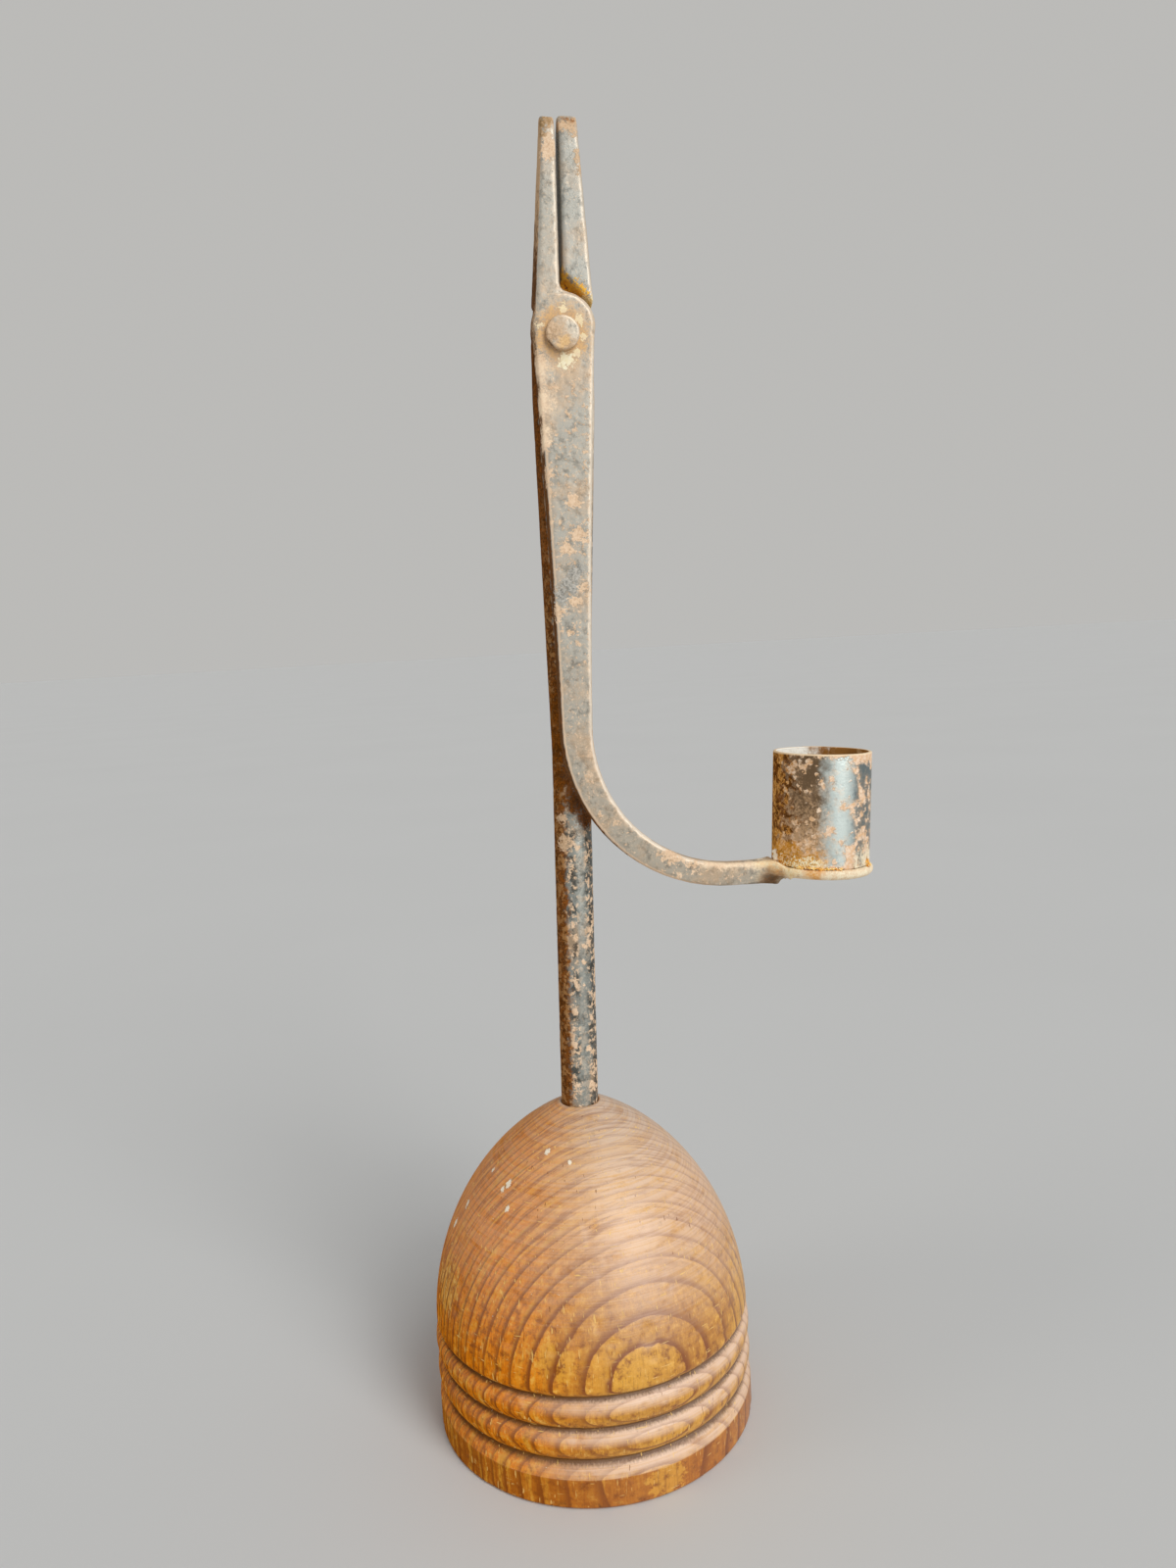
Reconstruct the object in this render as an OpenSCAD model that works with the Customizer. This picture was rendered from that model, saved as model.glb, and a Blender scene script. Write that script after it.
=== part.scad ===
// Rushlight holder: a forged iron nip and candle socket on a turned wooden base.
// Millimetres, +Z up, origin at the centre of the foot. The arm reaches along +X and the
// front faces -Y. All the iron leans together where it is driven into the wood.

/* [Wooden base] */
// Diameter across the foot and the beads
base_d = 80; // [64:1:110]
// Height from the foot to the flat where the stem goes in
base_h = 80.2; // [66:0.1:100]
// Diameter of the small flat on top of the dome
base_top_d = 10.4; // [10:0.1:20]
// Height of the plain band at the foot
foot_h = 7.3; // [5:0.1:12]
// Bevel round the lower edge of the foot
foot_bevel = 0.6; // [0.2:0.1:1.5]
// Whole beads between the foot and the dome
bead_count = 2; // [1:1:3]
// Height of one bead, groove to groove
bead_h = 7.6; // [6:0.1:10]
// How far a bead stands proud of its grooves
bead_bulge = 1.8; // [1:0.1:2.6]
// How far the half bead over the foot band bows out of a straight bevel
half_bead_bow = 0.25; // [0.1:0.05:0.6]
// Height of the rolled lip under the dome
lip_h = 2; // [1.5:0.1:4]
// How far the dome's widest part stays inside the foot
dome_inset = 0.4; // [0:0.1:0.8]
// Slope of the dome where it leaves the lip, in degrees from upright
dome_slope = 2.5; // [0:0.5:6]

/* [Stem] */
// Diameter of the round bar
stem_d = 9.2; // [8:0.1:9.6]
// Lean of the ironwork towards the arm, in degrees
stem_lean = 1.8; // [0:0.1:3]
// Depth of the stem's hole in the base
socket_depth = 46; // [30:1:54]
// Length over which the bar is hammered flat
flat_run = 84; // [60:1:100]
// How far below the pivot the flat reaches its full width
flat_drop = 13; // [10:0.5:20]
// Width of the flat where it meets the boss
flat_w = 14.2; // [12:0.1:14.4]

/* [Nip] */
// Height of the pivot above the foot
pivot_h = 263; // [256:1:290]
// Thickness of each half where the two halves cross
plate_t = 4.8; // [4:0.1:6]
// Radius of the round boss round the rivet
boss_r = 7.2; // [6.8:0.1:8]
// How far the boss sits above the pivot
boss_rise = 2.3; // [1.5:0.1:2.6]
// How far the front boss and the arm's root are set to the left of the stem
boss_set = 0.4; // [0:0.1:0.8]
// How far the rivet is set to the left of the stem
pivot_set = 1; // [0:0.1:1.4]
// How far the gap between the jaws is set to the left of the stem
gap_set = 0.8; // [0:0.1:1.2]
// Length of the fixed jaw above the pivot
fixed_jaw_l = 48; // [36:0.1:60]
// Width of the fixed jaw at its root
fixed_root_w = 7.2; // [6:0.1:7.6]
// Width of the fixed jaw at its tip
fixed_tip_w = 4.4; // [3:0.1:5.5]
// Length of the moving jaw above the pivot
moving_jaw_l = 47.4; // [36:0.1:60]
// Width of the moving jaw at its root
moving_root_w = 6; // [5.2:0.1:6.4]
// Width of the moving jaw at its tip
moving_tip_w = 3.2; // [2.5:0.1:5]
// Depth of the jaws, front to back, below the tip
jaw_tip_t = 6.2; // [4.5:0.1:8]
// Depth of the blunt end of the jaws
jaw_end_t = 2.4; // [1.5:0.1:4]
// Height of the bevels at the end of the jaws
jaw_bevel_h = 3.6; // [2:0.1:6]
// Gap between the jaws when the weight has closed them
jaw_gap = 0.8; // [0.6:0.1:2]
// Radius of the throat between a jaw and its boss
throat_r = 1.6; // [0.8:0.1:2]
// How much wider the jaw's step is at its face than at its foot
step_flare = 0.9; // [0.3:0.1:3]

/* [Arm] */
// Width of the arm at the pivot
arm_root_w = 13.8; // [12:0.1:14.2]
// Width of the arm where the bend starts
arm_bend_w = 7.6; // [6:0.1:9]
// Width of the arm where the bend ends
arm_neck_w = 5.5; // [5:0.1:6.4]
// Width of the upset neck beside the pan
arm_end_w = 6.4; // [5.8:0.1:7.6]
// Drop from the pivot to the start of the bend
bend_drop = 88.2; // [70:0.1:96]
// Radius of the bend at the middle of the arm
bend_r = 37.3; // [34:0.1:42]
// How far the arm stands to the right of the stem where the bend starts
arm_set = 0.2; // [0:0.1:1.5]
// Rounding of the hammered edges
edge_r = 0.9; // [0.4:0.1:1.4]

/* [Candle socket] */
// Bore that takes the candle
candle_d = 22; // [18:0.5:25]
// Height of the socket above the pan
socket_h = 27.6; // [20:0.1:40]
// Thickness of the rolled sheet
sheet_t = 0.9; // [0.7:0.1:1.4]
// Length of the lapped seam round the socket
lap_w = 5; // [3:0.5:8]
// Reach from the pivot to the middle of the socket
socket_reach = 60.6; // [58:0.1:80]
// Lean of the pan and socket on the arm, in degrees
socket_lean = 1.1; // [0:0.1:3]
// Margin of the pan outside the socket
pan_margin = 0.9; // [0.7:0.1:2]
// Thickness of the pan
pan_t = 2.4; // [2:0.1:3.2]
// Leg of the brazed fillet
fillet_leg = 0.7; // [0.4:0.1:0.7]

/* [Rivet] */
// Diameter of the rivet's shank
rivet_d = 5; // [4:0.1:6]
// Diameter of the flat front head
head_d = 7.6; // [7:0.1:10]
// Thickness of the front head
head_t = 1.5; // [1:0.1:2.2]
// Diameter of the tail, hammered over at the back
tail_d = 7.2; // [6.5:0.1:9]
// Thickness of the tail
tail_t = 1.4; // [0.8:0.1:2]

/* [Clearances] */
// Radial clearance of the arm on the rivet
running_gap = 0.06; // [0.02:0.01:0.1]
// Radial clearance of the fixed fits
fixed_gap = 0.02; // [0:0.01:0.05]
// Gap between the crossing faces, and under the rivet's head
face_gap = 0.3; // [0.2:0.05:0.5]
// Gap round a boss to the other half's jaw
boss_gap = 0.4; // [0.35:0.05:0.8]

/* [Hidden] */
$fn = 96;

wood = [0.52, 0.29, 0.13];
iron = [0.29, 0.28, 0.27];
sheet_iron = [0.33, 0.31, 0.29];
braze = [0.66, 0.47, 0.22];

// Wooden base
foot_r = base_d / 2;
groove_r = foot_r - bead_bulge;
bead_r = (pow(bead_h / 2, 2) + pow(bead_bulge, 2)) / (2 * bead_bulge);
bead_half_angle = asin(bead_h / 2 / bead_r);
half_bead_w = norm([bead_bulge, bead_h / 2]);
half_bead_r = pow(half_bead_w, 2) / (8 * half_bead_bow) + half_bead_bow / 2;
half_bead_turn = asin(half_bead_w / 2 / half_bead_r);
half_bead_lean = atan(bead_bulge / (bead_h / 2));
half_bead_from = half_bead_lean - half_bead_turn;
half_bead_centre = [foot_r, foot_h] - half_bead_r * [cos(half_bead_from), sin(half_bead_from)];
dome_r = foot_r - dome_inset;
dome_z = foot_h + (bead_count + 0.5) * bead_h + lip_h;
lip_out = dome_r - groove_r;
lip_r = (pow(lip_out, 2) + pow(lip_h, 2)) / (2 * lip_out);
top_r = base_top_d / 2;
dome_rise = base_h - dome_z;
dome_draw = dome_r - top_r;
dome_arc_r = (pow(dome_draw, 2) + pow(dome_rise, 2))
    / (2 * (dome_draw * cos(dome_slope) - dome_rise * sin(dome_slope)));
dome_centre = [dome_r - dome_arc_r * cos(dome_slope), dome_z - dome_arc_r * sin(dome_slope)];
dome_top_angle = asin((base_h - dome_centre[1]) / dome_arc_r);
bead_steps = 12;
lip_steps = 4;
dome_steps = 36;

// Depths of the ironwork, front to back: the stem's straight front is where the halves cross
stem_r = stem_d / 2;
stem_face_y = -stem_r;
stem_back_y = stem_face_y + plate_t;
lever_back_y = stem_face_y - face_gap;
lever_front_y = lever_back_y - plate_t;
arm_mid_y = lever_back_y - plate_t / 2;
stem_foot_z = base_h - socket_depth;
flat_to = pivot_h - flat_drop;
flat_from = flat_to - flat_run;

// Jaws and bosses, in the frame of one half: pivot at the origin, crossing face at y = 0,
// the plate in front of it, and the jaw to the left reaching back past the crossing face
jaw_back_y = plate_t - face_gap;
jaw_mid_y = (jaw_back_y - plate_t) / 2;
jaw_root_z = boss_rise;
step_angle = 45;
step_slope = step_flare / plate_t;
slice = 0.02;
far = 60;

// Arm and pan, in the same frame
bend_u = arm_set + bend_r;
run_z = -bend_drop - bend_r;
socket_r = candle_d / 2 + sheet_t;
pan_r = socket_r + pan_margin;
neck_sink = 0.3;
neck_u = socket_reach - pan_r + neck_sink;
upset_run = 7;
pan_drop = 0.75;
pan_bottom_z = run_z - pan_drop;
pan_top_z = pan_bottom_z + pan_t;

// Neck: the arm's end spreads into a web round the socket's foot, with a rib under it that ends in a chin
web_angle = 40;
web_end_u = socket_reach - pan_r * cos(web_angle);
web_w = 2 * pan_r * sin(web_angle) - edge_r;
web_sink = 0.2;
web_top_at = 0.75;
web_rise_share = 0.25;
chin_at = 0.86;
chin_w = 3;
neck_edge = 0.7;
neck_swell = arm_end_w - arm_neck_w;
web_top_z = run_z + arm_neck_w / 2 + neck_swell * web_rise_share;
chin_z = run_z - arm_neck_w / 2 - neck_swell * (1 - web_rise_share);
neck_steps = 16;
neck_cove_steps = 5;
taper_power = 1.4;
straight_steps = 10;
bend_steps = 18;
corner_steps = 3;

// Candle socket and braze: the braze runs this many degrees from the arm, behind it and in front
lap_angle = lap_w / (socket_r + sheet_t / 2) * 180 / PI;
lap_at = 70;
braze_clear = 2;
braze_ends = [70, 95];
lump_r = 1.05;
lump_tall = 1.5;
web_lump_at = 186;
web_lump_z = web_top_z - pan_top_z - socket_r * sin(socket_lean) + face_gap / 4;
pan_lump_at = 318;

// Rivet
rivet_r = rivet_d / 2;
head_back_y = lever_front_y - face_gap;
head_edge = 0.3;

// Points on an arc, angles in degrees
function arc(centre, r, from, to, steps) =
    [for (i = [0:steps]) centre + r * [cos(from + (to - from) * i / steps), sin(from + (to - from) * i / steps)]];

// Outline of a bar's section: a rectangle with rounded corners
function bar_section(w, t, r) =
    [for (corner = [0:3], i = [0:corner_steps])
        let (a = 90 * corner + 90 * i / corner_steps,
             side = corner == 0 || corner == 3 ? 1 : -1,
             top = corner < 2 ? 1 : -1)
        [side * (w / 2 - r) + r * cos(a), top * (t / 2 - r) + r * sin(a)]];

// One ring of a bar at [u, z], running along heading, of width w in the plane and thickness t
function bar_ring(u, z, heading, w, t, r, mid_y) =
    [for (p = bar_section(w, t, r))
        [u + p[0] * cos(heading + 90), mid_y + p[1], z + p[0] * sin(heading + 90)]];

// Solid through a list of rings that have the same number of points
module bar(rings) {
    count = len(rings[0]);
    last = len(rings) - 1;
    sides = [for (i = [0:last - 1], j = [0:count - 1], half = [0, 1])
        let (next = (j + 1) % count, a = i * count, b = a + count)
        half == 0 ? [a + j, b + next, b + j] : [a + j, a + next, b + next]];
    near_cap = [for (j = [1:count - 2]) [0, j + 1, j]];
    far_cap = [for (j = [1:count - 2]) [last * count, last * count + j, last * count + j + 1]];
    polyhedron([for (ring = rings) each ring], concat(sides, near_cap, far_cap), convexity = 6);
}

// The ironwork's own upright frame, leaning where it leaves the base
module leaning() {
    translate([0, 0, base_h]) rotate([0, stem_lean, 0]) translate([0, 0, -base_h]) children();
}

// The frame of the front half, which turns on the rivet
module front_half() {
    leaning() translate([0, lever_back_y, pivot_h]) children();
}

// The frame of the back half, the same shape turned to face the front half
module back_half() {
    leaning() translate([0, stem_face_y, pivot_h]) rotate([0, 0, 180]) children();
}

// Level slice through a jaw of width w, whose inner face is at inner_u
module jaw_slice(inner_u, z, w, depth) {
    translate([inner_u - w / 2, jaw_mid_y, z])
        linear_extrude(slice) polygon(bar_section(w, depth, edge_r * 0.7));
}

// Jaw of one half: tapered both ways, bevelled at the end, and stepped back clear of the other boss.
// gap_u and other_boss_u are where the gap and the other half's boss lie in this half's frame.
module jaw(gap_u, root_w, tip_w, length, other_boss_u) {
    inner_u = gap_u - jaw_gap / 2;
    step_foot = boss_r + boss_rise * sin(step_angle) - other_boss_u * cos(step_angle) + boss_gap;
    difference() {
        hull() {
            jaw_slice(inner_u, jaw_root_z, root_w, plate_t + jaw_back_y);
            jaw_slice(inner_u, length - jaw_bevel_h, tip_w, jaw_tip_t);
            jaw_slice(inner_u, length - slice, tip_w, jaw_end_t);
        }
        rotate([0, step_angle - 90, 0])
            rotate([90, 0, 90])
                linear_extrude(2 * far, center = true)
                    polygon([[0, step_foot], [far, step_foot + far * step_slope], [far, -far], [0, -far]]);
    }
    translate([inner_u - throat_r / 2, 0, boss_rise + boss_r - throat_r / 2]) rotate([90, 0, 0])
        linear_extrude(plate_t - edge_r / 2) difference() {
            square(throat_r * 1.5);
            translate([throat_r * 1.5, throat_r * 1.5]) circle(r = throat_r);
        }
}

// Boss of one half, with its outer edge eased
module boss(u) {
    translate([u, 0, boss_rise]) rotate([90, 0, 0]) rotate_extrude()
        polygon([[0, 0], [boss_r, 0], [boss_r, plate_t - edge_r], [boss_r - edge_r, plate_t], [0, plate_t]]);
}

module rivet_hole(u, gap) {
    translate([u, 0, 0]) rotate([90, 0, 0]) cylinder(r = rivet_r + gap, h = 4 * plate_t, center = true);
}

function base_profile() = concat(
    [[0, 0], [foot_r - foot_bevel, 0], [foot_r, foot_bevel]],
    arc(half_bead_centre, half_bead_r, half_bead_from, half_bead_lean + half_bead_turn, bead_steps / 2),
    [for (i = [1:bead_count])
        each arc([foot_r - bead_r, foot_h + i * bead_h], bead_r, -bead_half_angle * (1 - 2 / bead_steps),
                 bead_half_angle, bead_steps - 1)],
    [for (p = arc([dome_r - lip_r, dome_z], lip_r, -asin(lip_h / lip_r), 0, lip_steps)) if (p[0] > groove_r + 0.01) p],
    [for (i = [1:dome_steps]) let (a = dome_slope + (dome_top_angle - dome_slope) * i / dome_steps)
        dome_centre + dome_arc_r * [cos(a), sin(a)]],
    [[0, base_h]]);

// Turned base: foot band, beads, lip and dome, bored for the stem
module base() {
    color(wood) difference() {
        rotate_extrude() polygon(base_profile());
        leaning() translate([0, 0, stem_foot_z]) cylinder(r = stem_r + fixed_gap, h = far + socket_depth);
    }
}

// Round bar hammered flat towards the top; its front stays straight and its back draws in
function stem_rings() =
    [for (i = [0:straight_steps])
        let (s = i / straight_steps,
             w = stem_d + (flat_w - stem_d) * s,
             t = stem_d + (plate_t - stem_d) * s,
             r = stem_r * 0.98 + (edge_r - stem_r * 0.98) * s)
        bar_ring(0, flat_from + flat_run * s, 90, w, t, r, stem_face_y + t / 2)];

// Stem: round bar, flat, boss and the fixed jaw in one forging
module stem() {
    color(iron) difference() {
        union() {
            leaning() translate([0, 0, stem_foot_z]) cylinder(r = stem_r, h = flat_from + 1 - stem_foot_z);
            leaning() bar(stem_rings());
            leaning() bar([for (z = [flat_to, pivot_h])
                bar_ring(0, z, 90, flat_w, plate_t, edge_r, stem_face_y + plate_t / 2)]);
            back_half() boss(0);
            back_half() jaw(gap_set, fixed_root_w, fixed_tip_w, fixed_jaw_l, boss_set);
        }
        back_half() rivet_hole(pivot_set, fixed_gap);
    }
}

// The arm drops from the pivot, bends and runs out to the pan, tapering all the way
function arm_straight() =
    [for (i = [0:straight_steps - 1])
        let (s = i / straight_steps, w = arm_bend_w + (arm_root_w - arm_bend_w) * pow(1 - s, taper_power))
        bar_ring(-boss_set + (boss_set + arm_set) * s, -bend_drop * s, -90, w, plate_t, edge_r, -plate_t / 2)];

function arm_bend() =
    [for (i = [0:bend_steps])
        let (s = i / bend_steps, a = 180 + 90 * s, w = arm_bend_w + (arm_neck_w - arm_bend_w) * s)
        bar_ring(bend_u + bend_r * cos(a), -bend_drop + bend_r * sin(a), a - 270, w, plate_t, edge_r, -plate_t / 2)];

function arm_run() =
    [bar_ring(neck_u - upset_run, run_z, 0, arm_neck_w, plate_t, edge_r, -plate_t / 2)];

// Frame of the candle socket within the front half: on the pan, with z up the bore
module on_pan() {
    translate([socket_reach, -plate_t / 2, pan_top_z]) rotate([0, socket_lean, 0]) children();
}

// Ring across the neck: as wide as the web at its top, with a rib below it
function neck_ring(u, top_w, rib_w, top_z, rim_z, bottom_z) =
    let (rib_z = bottom_z + neck_edge,
         side = concat(
             [[rib_w / 2 - neck_edge, bottom_z]],
             [for (i = [0:neck_cove_steps]) let (a = 90 * i / neck_cove_steps)
                 [rib_w / 2 + (top_w - rib_w) / 2 * (1 - cos(a)), rib_z + (rim_z - rib_z) * sin(a)]],
             [[top_w / 2, top_z - neck_edge], [top_w / 2 - neck_edge, top_z]]))
    [for (p = side) [u, -plate_t / 2 - p[0], p[1]],
     for (i = [len(side) - 1:-1:0]) [u, -plate_t / 2 + side[i][0], side[i][1]]];

// Rings from the arm's full section to the web; the last lies inside the pan
function neck_rings() =
    [for (i = [0:neck_steps])
        let (s = i / neck_steps,
             u = neck_u - upset_run - slice + (web_end_u - neck_u + upset_run) * s,
             top_w = plate_t + (web_w - plate_t) * pow(s, 3),
             rib_w = i < neck_steps ? plate_t + (chin_w - plate_t) * s * s : top_w,
             arm_top_z = run_z + arm_neck_w / 2,
             top_z = s < web_top_at ? arm_top_z + (web_top_z - arm_top_z) * s / web_top_at
                 : web_top_z + (pan_top_z - web_sink - web_top_z) * (s - web_top_at) / (1 - web_top_at),
             rim_z = run_z + (pan_bottom_z + web_sink - run_z) * s,
             arm_bottom_z = run_z - arm_neck_w / 2,
             end_z = pan_bottom_z + web_sink - neck_edge,
             bottom_z = s < chin_at ? arm_bottom_z + (chin_z - arm_bottom_z) * pow(s / chin_at, 4)
                 : chin_z + (end_z - chin_z) * (s - chin_at) / (1 - chin_at))
        neck_ring(u, top_w, rib_w, top_z, rim_z, bottom_z)];

// Neck that spreads the arm into the pan and wraps the foot of the socket
module neck() {
    difference() {
        bar(neck_rings());
        on_pan() cylinder(r = socket_r + fixed_gap, h = far);
    }
}

// Pan hammered out at the end of the arm
module pan() {
    on_pan() rotate_extrude()
        polygon([[0, -pan_t], [pan_r - pan_t / 3, -pan_t], [pan_r, -pan_t * 2 / 3], [pan_r, -pan_t / 5],
                 [pan_r - pan_t / 5, 0], [0, 0]]);
}

// Lever: moving jaw, boss, arm and pan in one forging
module lever() {
    color(iron) difference() {
        front_half() {
            boss(-boss_set);
            jaw(-gap_set, moving_root_w, moving_tip_w, moving_jaw_l, 0);
            bar(concat(arm_straight(), arm_bend(), arm_run()));
            neck();
            pan();
        }
        front_half() rivet_hole(-pivot_set, running_gap);
    }
}

// Rivet: flat head at the front, shank through both bosses, tail hammered over behind
module pivot_rivet() {
    color(iron) leaning() translate([-pivot_set, 0, pivot_h]) rotate([90, 0, 0]) rotate_extrude()
        polygon([[0, -stem_back_y - tail_t], [tail_d / 2 - tail_t, -stem_back_y - tail_t],
                 [tail_d / 2, -stem_back_y - tail_t / 3], [tail_d / 2, -stem_back_y], [rivet_r, -stem_back_y],
                 [rivet_r, -head_back_y], [head_d / 2, -head_back_y], [head_d / 2, -head_back_y + head_t - head_edge],
                 [head_d / 2 - head_edge, -head_back_y + head_t], [0, -head_back_y + head_t]]);
}

// Socket rolled from sheet, with the outer end lapped over the seam at the back
module candle_socket() {
    color(sheet_iron) front_half() on_pan() {
        difference() {
            cylinder(r = socket_r, h = socket_h);
            translate([0, 0, -1]) cylinder(r = candle_d / 2, h = socket_h + 2);
        }
        rotate([0, 0, lap_at]) rotate_extrude(angle = lap_angle)
            translate([socket_r - sheet_t / 2, 0]) square([sheet_t * 1.2, socket_h]);
    }
}

// Fillet of braze round part of the socket's foot, angles in degrees from +X
module fillet(from, to) {
    rotate([0, 0, from]) rotate_extrude(angle = to - from)
        polygon([[socket_r, 0], [socket_r + fillet_leg, 0], [socket_r, fillet_leg]]);
}

// Lump of braze that ran out against the socket, standing at height z above the pan
module lump(at, z) {
    difference() {
        rotate([0, 0, at]) translate([socket_r + lump_r * 0.3, 0, z + lump_r * lump_tall * 0.6])
            scale([1, 1, lump_tall]) sphere(r = lump_r);
        translate([0, 0, -1]) cylinder(r = socket_r, h = socket_h);
        translate([0, 0, z - far / 2]) cube(far, center = true);
    }
}

// Braze that holds the socket on the pan: a fillet on each side of the neck, a lump on it and one across
module socket_braze() {
    neck_clear = web_angle + braze_clear;
    color(braze) front_half() on_pan() {
        fillet(180 - braze_ends[0], 180 - neck_clear);
        fillet(180 + neck_clear, 180 + braze_ends[1]);
        lump(web_lump_at, web_lump_z);
        lump(pan_lump_at, 0);
    }
}

base();
stem();
lever();
pivot_rivet();
candle_socket();
socket_braze();
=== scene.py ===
import math
import random
import bmesh
import bpy
from mathutils import Matrix, Vector


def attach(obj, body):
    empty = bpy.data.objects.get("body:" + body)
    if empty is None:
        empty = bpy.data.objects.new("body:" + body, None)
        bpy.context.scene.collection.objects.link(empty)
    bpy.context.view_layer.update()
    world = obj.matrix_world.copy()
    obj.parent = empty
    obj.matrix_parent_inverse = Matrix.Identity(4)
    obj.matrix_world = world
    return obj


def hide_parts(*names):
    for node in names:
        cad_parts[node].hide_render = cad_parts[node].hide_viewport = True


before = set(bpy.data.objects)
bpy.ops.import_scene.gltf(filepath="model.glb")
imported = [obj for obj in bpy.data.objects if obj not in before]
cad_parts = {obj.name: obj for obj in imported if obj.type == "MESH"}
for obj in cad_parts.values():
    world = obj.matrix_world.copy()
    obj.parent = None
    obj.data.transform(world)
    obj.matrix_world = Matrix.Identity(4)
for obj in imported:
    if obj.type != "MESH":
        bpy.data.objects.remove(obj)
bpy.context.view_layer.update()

# Wooden base
# One block of old pine, turned on a lathe: a dome on a rolled lip, beads and a plain foot band.
# It was waxed once and has worn dull; the stem is driven into the small flat on its top.
mm = 0.001
foot_r = 40.0
foot_h = 7.3
foot_bevel = 0.6
bead_h = 7.6
bead_bulge = 1.8
bead_count = 2
half_bead_bow = 0.25
lip_h = 2.0
dome_r = 39.6
dome_slope = 2.5
base_h = 80.2
top_r = 5.2
dome_z = foot_h + (bead_count + 0.5) * bead_h + lip_h
stem_hole_r = 4.66
stem_hole_d = 2.0
stem_hole_bevel = 0.2


def arc(centre, r, start, stop, steps):
    """Points of an arc in the plane of an outline, angles in degrees."""
    turns = [math.radians(start + (stop - start) * i / steps) for i in range(steps + 1)]
    return [(centre[0] + r * math.cos(a), centre[1] + r * math.sin(a)) for a in turns]


def bowed(start, stop, bow, steps):
    """Points of a shallow arc from one point to another, bowed to the right of its course."""
    chord = math.dist(start, stop)
    r = chord ** 2 / (8 * bow) + bow / 2
    half = math.degrees(math.asin(chord / 2 / r))
    lean = math.degrees(math.atan2(stop[1] - start[1], stop[0] - start[0])) - 90
    across = math.radians(lean - half)
    centre = (start[0] - r * math.cos(across), start[1] - r * math.sin(across))
    return arc(centre, r, lean - half, lean + half, steps)


def base_outline():
    """Half section of the base as (radius, height, depth of groove), from the foot to the stem's hole."""
    band_rows = 14
    half_bead_rows = 10
    bead_rows = 18
    lip_rows = 7
    dome_rows = 96
    band_edge = 0.15
    band_h = foot_h - band_edge - foot_bevel
    half_bead_start = (foot_r - 0.06, foot_h + 0.1)
    groove_r = foot_r - bead_bulge
    bead_r = ((bead_h / 2) ** 2 + bead_bulge ** 2) / (2 * bead_bulge)
    half = math.degrees(math.asin(bead_h / 2 / bead_r))
    draw, climb = dome_r - top_r, base_h - dome_z
    slope = math.radians(dome_slope)
    dome_arc_r = (draw ** 2 + climb ** 2) / (2 * (draw * math.cos(slope) - climb * math.sin(slope)))
    dome_centre = (dome_r - dome_arc_r * math.cos(slope), dome_z - dome_arc_r * math.sin(slope))
    dome_top = math.degrees(math.asin((base_h - dome_centre[1]) / dome_arc_r))
    points = [(r, 0.0) for r in (0.0, foot_r * 0.5, foot_r - 2.5, foot_r - foot_bevel)]
    points += [(foot_r, foot_bevel + band_h * i / band_rows) for i in range(band_rows + 1)]
    points += bowed(half_bead_start, (groove_r, foot_h + bead_h / 2), half_bead_bow, half_bead_rows)
    for i in range(1, bead_count + 1):
        points += arc((foot_r - bead_r, foot_h + i * bead_h), bead_r, -half, half, bead_rows)[1:]
    for i in range(1, lip_rows):
        a = math.radians(90 * i / lip_rows)
        across = groove_r + (dome_r - groove_r) * math.sin(a)
        points.append((across, dome_z - lip_h + lip_h * a / math.radians(90)))
    points += arc(dome_centre, dome_arc_r, dome_slope, dome_top, dome_rows)
    points += [(stem_hole_r + stem_hole_bevel, base_h), (stem_hole_r, base_h - stem_hole_bevel),
               (stem_hole_r, base_h - stem_hole_d), (0.0, base_h - stem_hole_d)]
    grooved = (foot_h + bead_h / 4, dome_z)
    depths = [max(0.0, (foot_r - r) / bead_bulge) if grooved[0] < z < grooved[1] else 0.0
              for r, z in points]
    return [(r, z, depth) for (r, z), depth in zip(points, depths)]


on_bench = {}


def put(kind, inputs=(), **settings):
    """Adds one node to the tree on the bench, with its settings and its inputs as values or links."""
    tree = on_bench["tree"]
    made = tree.nodes.new(kind)
    for name, value in settings.items():
        setattr(made, name, value)
    for key, value in dict(inputs).items():
        socket = made.inputs[key]
        if isinstance(value, bpy.types.NodeSocket):
            tree.links.new(value, socket)
        elif socket.type == "RGBA":
            socket.default_value = (*value, 1.0)
        else:
            socket.default_value = value
    return made


def calc(operation, a, b=0.0):
    return put("ShaderNodeMath", {0: a, 1: b}, operation=operation).outputs[0]


def both(first, *others):
    """Product of values from 0 to 1: where all of them are."""
    for other in others:
        first = calc("MULTIPLY", first, other)
    return first


def either(first, *others):
    """The largest of several values: where any of them is."""
    for other in others:
        first = calc("MAXIMUM", first, other)
    return first


def total(start, *terms):
    """A start value plus each (value, share)."""
    for value, share in terms:
        start = put("ShaderNodeMath", {0: value, 1: share, 2: start}, operation="MULTIPLY_ADD").outputs[0]
    return start


def centred(value):
    """A noise, moved to lie about 0."""
    return total(-0.5, (value, 1.0))


def rest_of(amount):
    """What an amount leaves of 1."""
    return calc("SUBTRACT", 1.0, amount)


def rise(value, low, high):
    """0 at low and 1 at high, smooth between them and level outside."""
    inputs = {"Value": value, "From Min": low, "From Max": high}
    return put("ShaderNodeMapRange", inputs, interpolation_type="SMOOTHSTEP").outputs[0]


def noise(place, per_unit, detail=3.0, rough=0.55):
    inputs = {"Vector": place, "Scale": per_unit, "Detail": detail, "Roughness": rough}
    return put("ShaderNodeTexNoise", inputs).outputs[0]


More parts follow.
